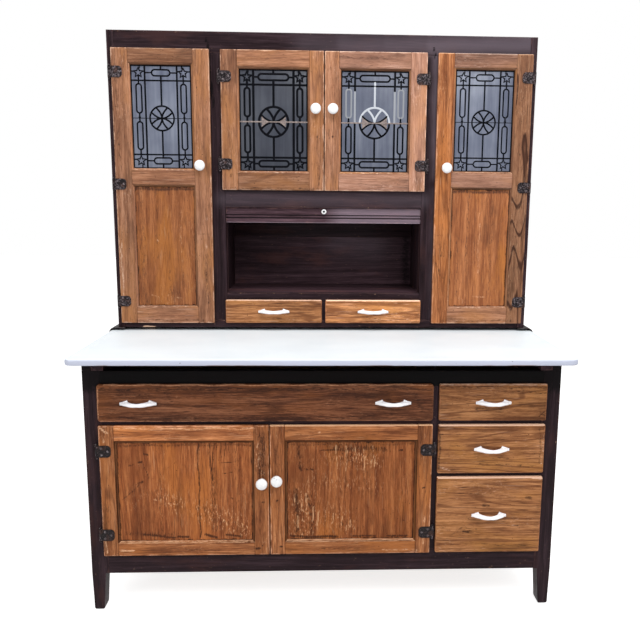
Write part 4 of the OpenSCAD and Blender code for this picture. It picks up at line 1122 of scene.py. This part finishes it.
def door(body, infills, face, wood, profile, rim, tones, strokes, finishes, lip):
    """Door frame of stiles, rails and mouldings round its infills, named from below.

    tones and finishes are by left, right and a rail's number from below, and 0 where none is given."""
    lo, hi = box(body + "_frame")
    holes = [opening(n) for n in infills]
    xa, xb = holes[0][0], holes[0][1]
    edges = [lo.z] + [z for h in holes for z in (h[2] - MOULD_W, h[3] + MOULD_W)] + [hi.z]
    work = Work()
    pieces = [
        ("left", (lo.x, xa - MOULD_W, lo.z, hi.z), "z", "x- z- z+"),
        ("right", (xb + MOULD_W, hi.x, lo.z, hi.z), "z", "x+ z- z+"),
    ]
    rails = list(zip(edges[::2], edges[1::2]))
    for i, (z0, z1) in enumerate(rails):
        outer = ("z- " if i == 0 else "") + ("z+" if i == len(rails) - 1 else "")
        pieces.append((i, (xa - MOULD_W + GAP, xb + MOULD_W - GAP, z0, z1), "x", outer))
    for key, rect, grain, outer in pieces:
        front_layers(
            work, rect, face, grain, outer, tones.get(key, 0), finishes.get(key, 0), strokes,
            lip if "z+" in outer else 0.0,
        )
    for hole in holes:
        moulding(work, hole, profile, face - PROUD, *rim)
    work.make(body + "_wood", wood, body, [body + "_frame"])


def panel(node, wood, tone, strokes):
    """Flat panel behind a moulding, with vertical grain."""
    lo, hi = box(node)
    work = Work()
    slab(work, rect_of(lo, hi), lo.y, hi.y, "z", tone, r=0.5, corner=0.6, step=3.0, strokes=strokes,
         margin=REBATE)
    work.make(node + "_board", [wood], body_of(node), [node])


def capsule(center, length, width, upright):
    """Closed outline of a long slot shape."""
    x, z = center
    r = width / 2
    dx, dz, start = (0, length / 2 - r, 0) if upright else (length / 2 - r, 0, -90)
    first = arc_points((x + dx, z + dz), r, start, start + 180, 10)
    return first + arc_points((x - dx, z - dz), r, start + 180, start + 360, 10)


def star(center, outer, inner):
    """Closed outline of a five-pointed star."""
    return [on_circle(center, (outer, inner)[i % 2], 90 + 36 * i) for i in range(10)]


def flare(center, r, direction, side, steps=9):
    """Line from the middle of a circle that leaves along a direction and curves off to its rim."""
    lean = math.radians(29)
    points = []
    for i in range(steps + 1):
        t = i / steps
        along, off = r * math.cos(lean) * t, side * r * math.sin(lean) * t ** 1.9
        dx, dz = math.cos(math.radians(direction)), math.sin(math.radians(direction))
        points.append((center[0] + along * dx - off * dz, center[1] + along * dz + off * dx))
    return points


# How far a pane's upright lines and the middles of its slots lie inside it, and a line's height
BORDER, SLOT_IN, LEAD_H = 45, 25, 0.7


def pane(body, circle_r, slot_share, line, pale_mid, shine, tone):
    """Frosted pane with the lines of traditional leaded glass on both of its faces.

    slot_share is how much of its width a middle slot takes, and shine how much painted glint the upper
    lines get."""
    node = body + "_glass"
    x0, x1, z0, z1 = opening(node)
    w, h = x1 - x0, z1 - z0
    lo, hi = box(node)
    glass = Work()
    board(glass, lo, hi, "z", "y", 0.3, tone, "x- x+ z- z+")
    glass.make(node + "_pane", [GLASS], body, [node])
    y = lo.y
    mid_x, mid_z = (x0 + x1) / 2, z1 - 0.51 * h
    lead = Work()

    def draw(path, width=line, closed=False, painted_glint=0.0):
        ribbon(lead, path, width, LEAD_H, y, closed, painted_glint)
        ribbon(lead, path[::-1], width, -LEAD_H, hi.y, closed)

    # Upright lines, slots and stars of both borders
    for side in (-1, 1):
        x = mid_x + side * (w / 2 - BORDER)
        draw([(x, z0), (x, mid_z)], line * 1.05)
        draw([(x, mid_z), (x, z1 - 0.2 * h)], line * 1.05, painted_glint=shine * 0.6)
        draw([(x, z1 - 0.2 * h), (x, z1)], line * 1.05)
        cx = mid_x + side * (w / 2 - SLOT_IN)
        for top, bottom in ((0.18, 0.46), (0.545, 0.815)):
            slot = capsule((cx, z1 - h * (top + bottom) / 2), h * (bottom - top), 17, True)
            draw(slot, line * 0.9, True, shine * 0.5 if top < 0.3 else 0.0)
        for a, b in ((0.105, 0.18), (0.46, 0.545), (0.815, 0.885)):
            draw([(cx, z1 - h * a), (cx, z1 - h * b)], line * 0.9)
        draw(star((cx, z1 - h * 0.5025), 3.2, 2.4), 2, True)
        for fraction in (0.0735, 0.925):
            cz = z1 - h * fraction
            draw(star((cx, cz), 15.5, 7.0), line * 0.85, True)
            edge_x = mid_x + side * w / 2
            draw([(cx + side * 13, cz + 4), (edge_x, cz + 4)], line * 0.8)
            draw([(cx - side * 13, cz + 4), (x, cz + 4)], line * 0.8)
            out = 1 if fraction < 0.5 else -1
            draw([(cx - side * 4, cz + out * 12), (cx - side * 4, (z1 if out > 0 else z0))], line * 0.7)
    # Frame, cross lines, and the slots in the middle at top and bottom
    draw([(x0 + 2, z0 + 1), (x1 - 2, z0 + 1), (x1 - 2, z1 - 2), (x0 + 2, z1 - 2)], 4.4, True)
    for fraction in (0.148, 0.864):
        z = z1 - h * fraction
        draw([(x0, z), (x1, z)], line * 0.9)
    for fraction, up in ((0.0735, 1), (0.925, -1)):
        cz = z1 - h * fraction
        length = slot_share * w
        draw(capsule((mid_x, cz), length, 19, False), line * 0.9, True)
        for side in (-1, 1):
            draw([(mid_x + side * length / 2, cz), (mid_x + side * (w / 2 - BORDER), cz)], line * 0.8)
        draw([(mid_x, cz + up * 9.5), (mid_x, z1 if up > 0 else z0)], line * 0.9)
        rim = mid_z + up * circle_r
        draw([(mid_x, cz - up * 9.5), (mid_x, rim)], line, painted_glint=shine if up > 0 else 0.0)
    # Circle and its flaring spokes
    draw(arc_points((mid_x, mid_z), circle_r, 0, 180, 24), line, painted_glint=shine)
    draw(arc_points((mid_x, mid_z), circle_r, 180, 360, 24), line)
    for direction in (0, 90, 180, 270):
        for side in (-1, 1):
            painted_glint = shine if direction == 90 else 0.0
            draw(flare((mid_x, mid_z), circle_r, direction, side), line, painted_glint=painted_glint)
    lead.make(node + "_lines", [LEAD], body, ())
    strip = Work()
    width, height = (5.0, LEAD_H + 0.25) if pale_mid else (2.2, LEAD_H * 0.8)
    ribbon(strip, [(x0, mid_z), (x1, mid_z)], width, height, y)
    for direction in (0, 180) if pale_mid else ():
        petal(strip, (mid_x, mid_z), circle_r - line * 0.4, direction, y)
    strip.make(node + "_strip", [PALE if pale_mid else LEAD], body, ())


def petal(work, center, r, direction, y):
    """Thin plate between two flaring lines of the circle."""
    up, down = flare(center, r, direction, 1), flare(center, r, direction, -1)
    outline = up + down[:0:-1]
    prism(work, outline, lambda way, a, b: (a, way, b), y - 0.45, y, smooth=False)


def knob_at(node):
    """Turned knob in place of a CAD one."""
    lo, hi = box(node)
    r, length = (hi.x - lo.x) / 2, hi.y - lo.y
    head_h = r * 0.55
    head = length - head_h
    profile = [(0, 0), (r * 0.64, 0), (r * 0.64, 1.6), (r * 0.56, 3.4), (r * 0.45, 5.4), (r * 0.42, 7.4)]
    for i in range(17):
        a = math.radians(-62 + 150 * i / 16)
        profile.append((r * math.cos(a), head + head_h * math.sin(a)))
    profile += [(3.4, length - 0.35), (2.6, length - 1.1), (0, length - 1.3)]
    work = Work()
    lathe(work, profile, ((lo.x + hi.x) / 2, hi.y, (lo.z + hi.z) / 2), 40)
    work.make(node + "_turned", [PORCELAIN], body_of(node), [node])


def pulls(node):
    """Bow pulls with leaf-shaped feet, thinner and rounder than the CAD ones."""
    work = Work()
    for lo, hi in islands(node):
        half, out = (hi.x - lo.x) / 2, hi.y - lo.y
        x, z, tall = (lo.x + hi.x) / 2, (lo.z + hi.z) / 2, hi.z - lo.z
        bow(work, x, hi.y, z, half, out, tall)
    work.make(node + "_bow", [PULL_WHITE], body_of(node), [node])


def bow(work, x, face, z, half, out, tall):
    """One pull: a bow between an outer and an inner arc, and a foot at both ends."""
    tip, foot, thick = 2.2, 22, 5.5
    inner = half - foot
    rise, rise_in = out - tip, out - thick
    r_out = (half * half + rise * rise) / (2 * rise)
    r_in = (inner * inner + rise_in * rise_in) / (2 * rise_in)
    steps, around = 30, 12
    sections = []
    for i in range(-steps, steps + 1):
        u = i / steps
        at = half * u
        front = math.sqrt(r_out ** 2 - at ** 2) - (r_out - out)
        back = math.sqrt(max(r_in ** 2 - at ** 2, 0)) - (r_in - rise_in) if abs(at) < inner else 0
        t = abs(u)
        height = tall / 2 * (0.66 + 0.18 * math.sin(math.pi * t)) * (1 - 0.4 * t ** 8)
        ring = []
        for k in range(around + 1):
            a = math.pi * k / around
            ring.append((height * math.cos(a), back + (front - back) * math.sin(a) ** 0.75))
        sections.append((ring, at))
    stack(work, sections, lambda a, b, level: (x + level, face - b, z + a))
    for side in (-1, 1):
        foot_plate(work, x + side * half, face, z, -side, foot, tall)


# Shares of a foot's length and of the pull's height
LEAF = [(0, -0.24), (0.3, -0.32), (0.8, -0.36), (1.1, 0.1), (1.0, 0.42), (0.93, 0.68), (0.78, 0.6),
        (0.4, 0.38), (0, 0.22)]


def foot_plate(work, tip_x, face, z, inward, length, tall):
    """Flat leaf under a pull's end, with a point that rises towards the middle."""
    outline = [(tip_x + inward * length * a, z + tall * b) for a, b in LEAF]
    if inward < 0:
        outline.reverse()
    prism(work, outline, lambda way, a, b: (a, way, b), face - 3.2, face, smooth=False)


def drawer(body, wood, corner, tone, strokes, lip=0.0):
    """Drawer: a front with a rounded lip, and its box of boards."""
    solids = islands(body)
    face_lo = min(s[0].y for s in solids)
    lo, hi = next(s for s in solids if s[0].y < face_lo + 1)
    face = lo.y + PROUD
    work = Work()
    seed = dice.random()
    rect = rect_of(lo, hi)
    slab(work, rect, lo.y, face - SEAT, "x", tone, "", seed, r=4.2, corner=corner, step=3.2,
         strokes=placed(rect, strokes), lip=lip)
    board(
        work, (lo.x + LIP_INSET, face - 2 * SEAT, lo.z + LIP_INSET),
        (hi.x - LIP_INSET, hi.y, hi.z - LIP_INSET), "x", "y", 1.0, tone, "", 0, seed,
    )
    for a, b in solids:
        if a.y > lo.y + 15:
            board(work, a, b, edge=1.0, tone=dice.uniform(-0.08, 0.08), finish=1)
    work.make(body + "_boards", [wood, INSIDE], body, [body])


def fronts():
    hutch_woods = [HUTCH_OAK, BOLD_OAK, BASE_OAK, ROSE_OAK]
    # Moulding tones run from the bottom side round by the right; the number after them paints a highlight
    # on the bottom moulding
    hutch = (HUTCH_Y, hutch_woods, OVOLO, ((0.05, -0.4, -0.6, 0.05), 0.3))
    base = (BASE_Y, [BASE_OAK], BEAD, ((-0.05, -0.6, -0.65, -0.6), 0.5))
    # A door's last number paints a highlight along its top edge
    for body, infills, made_of, tones, strokes, finishes, lip in (
        ("door_left", ("panel", "glass"), hutch, {"left": -0.14, "right": -0.06, 2: -0.36},
         A_FRAME, {}, 0.0),
        ("door_right", ("panel", "glass"), hutch,
         {"left": 0.06, "right": -0.1, 0: 0.04, 1: -0.12, 2: -0.28},
         D_FRAME, {"right": 1, "left": 2, 1: 3, 2: 3}, 1.2),
        ("door_center_left", ("glass",), hutch, {"left": -0.14, 0: -0.34}, B_FRAME, {}, 0.0),
        ("door_center_right", ("glass",), hutch, {"right": 0.13, "left": 0.03, 0: 0.0, 1: -0.12}, C_FRAME,
         {"right": 3, 0: 3, 1: 3}, 0.5),
        ("base_door_left", ("panel",), base, {1: 0.34, "left": -0.12, "right": -0.06}, E_FRAME, {}, 0.0),
        ("base_door_right", ("panel",), base, {0: -0.1, 1: 0.0}, F_FRAME, {}, 2.2),
    ):
        strokes_here = placed(rect_of(*box(body + "_frame")), strokes)
        door(body, [body + "_" + n for n in infills], *made_of, tones, strokes_here, finishes, lip)
    for body, wood, tone, strokes in (
        ("door_left", SOFT_OAK, -0.17, A_PANEL), ("door_right", SOFT_OAK, 0.06, D_PANEL),
        ("base_door_left", PANEL_OAK, -0.03, E_PANEL), ("base_door_right", PANEL_OAK, -0.2, F_PANEL),
    ):
        panel(body + "_panel", wood, tone, placed(opening(body + "_panel"), strokes))
    pane("door_left", 38, 0.3, 5.6, False, 0.0, 0.28)
    pane("door_right", 38, 0.3, 5.2, False, 0.0, 0.36)
    pane("door_center_left", 47, 0.44, 7.6, True, 0.0, -0.6)
    pane("door_center_right", 48, 0.44, 6.2, True, 0.7, 0.1)
    # A drawer's last number, where given, paints a highlight along its top edge
    drawer("small_drawer_left", BANK_OAK, 3, 0.02, SMALL, 0.8)
    drawer("small_drawer_right", BANK_OAK, 3, 0.5, SMALL, 1.2)
    # The wide drawer's darker oak is painted shade under the worktop
    drawer("wide_drawer", SHADED_OAK, 9, 0.0, WIDE)
    drawer("bank_drawer_top", BANK_OAK, 4, -0.16, DRAWER_1, 0.5)
    drawer("bank_drawer_middle", BANK_OAK, 4, -0.05, DRAWER_2, 2.2)
    drawer("bank_drawer_bottom", BANK_OAK, 4, 0.0, DRAWER_3, 2.4)
    for node in NODES:
        if node.endswith("_knob"):
            knob_at(node)
        if node.endswith(("_pull", "_pulls")):
            pulls(node)


# Roll front

# Half a slat's thickness
SLAT_HALF = 4
# The lead rail's face, as depth and height: a band, a sunk bead under it, and its foot
RAIL_UPPER = [(1, 0), (0.3, -0.3), (0, -1), (0, -21), (0.7, -22), (3, -22.4), (3, -25), (1.9, -25.4),
              (1.5, -26.4), (1.5, -29.8), (1.9, -30.7), (3, -31.2), (3, -34), (0.9, -35.6), (0, -37)]
RAIL_FOOT = [(0, 3.2), (0.8, 1.1), (2.8, 0)]


def roll_front():
    """Lead rail, button, and slats that come out from behind the rail over the niche."""
    lo, hi = box("tambour_rail")
    top, y0, y1 = hi.z, lo.y, hi.y
    outline = [(y1, top), *((y0 + a, top + b) for a, b in RAIL_UPPER)]
    outline += [*((y0 + a, lo.z + b) for a, b in RAIL_FOOT), (y1, lo.z)]
    x0, x1 = lo.x + 6, hi.x - 6
    sections = [(outline, x0 + (x1 - x0) * i / 24) for i in range(25)]

    # Painted shade: the dark share in the sunk groove. Painted sheen: the third share over the right half
    # and along the foot's bottom edge
    def mark(p):
        sunk = p[1] > y0 + 2.5 and top - 3 > p[2] > lo.z + 3
        right = min(max(p[0] / 60, 0), 1)
        return 1.6 * sunk, 0.0, 0.2 * right + 0.3 * (p[2] < lo.z + 2)

    work = Work()
    stack(work, sections, lambda a, b, level: (level, a, b), 2.1, mark=mark,
          spot=lambda p: (p[0] - x0, p[1] - y0, p[2] - lo.z), size=(x1 - x0, y1 - y0, top - lo.z))
    board(work, (lo.x, y1 - 8, lo.z), (hi.x, y1, hi.z), "x", "y", 0.8, 0.6)
    work.make("lead_rail", [CASE], "tambour", ["tambour_rail"])
    slats()
    button()


def slat_section(y, low, high):
    """Closed outline of a slat between two heights, as y and z."""
    back, front = y + SLAT_HALF, y - SLAT_HALF
    soft, curve = 0.1 * (high - low), 0.32 * (high - low)
    return [
        (back, low), (back, high), (front + 3.4, high), (front + 1.2, high - soft),
        (front, high - curve), (front, low + curve), (front + 1.2, low + soft), (front + 3.4, low),
    ]


def slats():
    """Slats that lie squeezed together over the rail at rest, and spread over the niche behind it."""
    lo, hi = box("tambour_slats")
    store = box("tambour_rail")[1].z
    travel, reach, count = 232, 50, 14
    y = lo.y + SLAT_HALF
    top = store + reach
    pitch = (travel + reach) / count

    def stored(final):
        """Height at rest of a point that ends at a given height when the roll is down."""
        low, high = 0.0, 1.0
        for _ in range(40):
            s = (low + high) / 2
            if top - reach * s - travel * s * s * (3 - 2 * s) > final:
                low = s
            else:
                high = s
        return top - reach * low

    work = Work()
    for i in range(count):
        end_high = top - i * pitch - 0.4
        section = slat_section(y, end_high - pitch + 0.8, end_high)
        outline = [(a, stored(b)) for a, b in section]
        prism(work, outline, lambda way, a, b: (way, a, b), lo.x, hi.x, 0.25, worn=False)
    moving = work.make("slats_moving", [CASE], None, ["tambour_slats"])
    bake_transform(moving)


def button():
    """Turned ring with a dark middle."""
    lo, hi = box("tambour_button")
    r, length = (hi.x - lo.x) / 2, hi.y - lo.y
    hole = r * 0.42
    profile = [(0, 0), (r, 0), (r, length * 0.45), (r - 0.7, length * 0.8), (r - 2.0, length),
               (hole + 1.0, length), (hole, length - 1.0), (hole, 0.6), (0, 0.5)]
    center = ((lo.x + hi.x) / 2, hi.y, (lo.z + hi.z) / 2)
    work = Work()
    lathe(work, profile, center, 32)
    lathe(work, [(0, 0.4), (hole - 0.1, 0.4), (hole - 0.1, 1.6), (0, 1.6)], center, 24, finish=1)
    work.make("button_ring", [PORCELAIN, LEAD], "tambour", ["tambour_button"])


# Hinges and tracks


def softened(node, material, width):
    """CAD node with a fine bevel and a material of its own."""
    obj = NODES[node]
    weld = obj.modifiers.new("weld", "WELD")
    weld.merge_threshold = 0.00001
    bevel = obj.modifiers.new("bevel", "BEVEL")
    bevel.width = width * MM
    bevel.segments = 2
    bevel.limit_method = "ANGLE"
    bevel.angle_limit = math.radians(40)
    obj.data.materials.clear()
    obj.data.materials.append(material)


def screws(node, face):
    """Domed screw heads on the leaves of a door's hinges."""
    lo, hi = box(body_of(node) + "_frame")
    work = Work()
    for a, b in islands(node):
        inward = 1 if a.x + b.x < lo.x + hi.x else -1
        end = b.x if inward > 0 else a.x
        for along, up in ((27, -10), (27, 10), (9, 0)):
            center = (end - inward * along, face - PROUD - 1.5, (a.z + b.z) / 2 + up)
            lathe(work, [(0, 0), (3.6, 0), (3.4, 1.1), (2.2, 1.9), (0.9, 2.2), (0, 2.2)], center, 12)
    work.make(node + "_screws", [SCREW], body_of(node), ())


def metal():
    for node in NODES:
        if node.endswith("_leaves"):
            low = node.startswith("base")
            softened(node, BASE_IRON if low else IRON, 0.4)
            if node.startswith(("base", "door")):
                screws(node, BASE_Y if low else HUTCH_Y)
    softened("worktop_tracks", STEEL, 0.4)
    softened("tambour_tracks", CASE, 0.5)


# Stage

# Place in m, turns to the right, down and over in degrees, focal length in mm, shift in picture widths
CAMERA_PLACE = (-0.0235, -2.2954, 1.2017)
CAMERA_TURN = (2.325, 9.461, -0.493)
LENS, LENS_SHIFT = 40.07, (-0.0392, 0.0052)
# Name, place and target in m, size in m and power in W
LAMPS = [
    ("key", (1.2, -2.7, 3.4), (0.1, 0, 0.9), (2.2, 1.6), 66),
    ("fill", (-2.4, -2.6, 1.9), (0, 0, 0.9), (1.8, 1.8), 20),
    ("top", (0, -1, 3.3), (0, 0, 0.8), (2.4, 1), 37),
]
FLOOR_HALF = 14


def camera():
    """Camera at the photograph's place and angle."""
    yaw, pitch, roll = (math.radians(a) for a in CAMERA_TURN)
    ahead = Vector((math.sin(yaw) * math.cos(pitch), math.cos(yaw) * math.cos(pitch), -math.sin(pitch)))
    right = Vector((math.cos(yaw), -math.sin(yaw), 0))
    down = ahead.cross(right)
    side = math.cos(roll) * right + math.sin(roll) * down
    under = -math.sin(roll) * right + math.cos(roll) * down
    data = bpy.data.cameras.new("camera")
    data.lens, data.sensor_width, data.clip_end = LENS, 36, 50
    data.shift_x, data.shift_y = LENS_SHIFT
    turn = Matrix((side, -under, -ahead)).transposed().to_4x4()
    obj = linked("camera", data)
    obj.matrix_world = Matrix.Translation(CAMERA_PLACE) @ turn
    bpy.context.scene.camera = obj


def floor():
    """White floor that looks a little brighter than the lamps alone make it."""
    r = FLOOR_HALF
    mesh = bpy.data.meshes.new("floor")
    mesh.from_pydata([(-r, -r, 0), (r, -r, 0), (r, r, 0), (-r, r, 0)], [], [(0, 1, 2, 3)])
    g = new_material("floor_white", Roughness=0.6, Specular_IOR_Level=0.2, Emission_Color=(1, 1, 1, 1))
    shade = g.noise(g.place(), (3, 3, 3))
    g.color(g.ramp(shade, (0.3, (238.61, 238.61, 238.61)), (0.7, (241.05, 241.05, 241.05))))
    seen = g.seen("Is Camera Ray", "Is Glossy Ray", "Is Transmission Ray")
    g.plug(g.shader.inputs["Emission Strength"], g.times(seen, 0.75))
    mesh.materials.append(g.owner)
    obj = linked("floor", mesh)


def world():
    """White surroundings, seen brighter than they light."""
    bpy.context.scene.world = bpy.data.worlds.new("world")
    g = Graph(bpy.context.scene.world)
    seen = g.seen("Is Camera Ray", "Is Transmission Ray")
    level = g.plus(g.times(seen, 0.45), 0.55)
    shader = g.node("Background", {"Color": (1, 1, 1, 1), "Strength": level})
    g.node("OutputWorld", {"Surface": shader.outputs[0]})


def lamp(name, place, target, size, watts):
    data = bpy.data.lights.new(name, "AREA")
    data.shape, data.energy = "RECTANGLE", watts
    data.size, data.size_y = size
    obj = linked(name, data)
    obj.location = place
    obj.rotation_euler = (Vector(target) - Vector(place)).to_track_quat("-Z", "Y").to_euler()


def stage():
    camera()
    floor()
    world()
    for values in LAMPS:
        lamp(*values)
    bpy.context.scene.view_settings.view_transform = "Standard"


case()
worktop()
fronts()
roll_front()
metal()
stage()
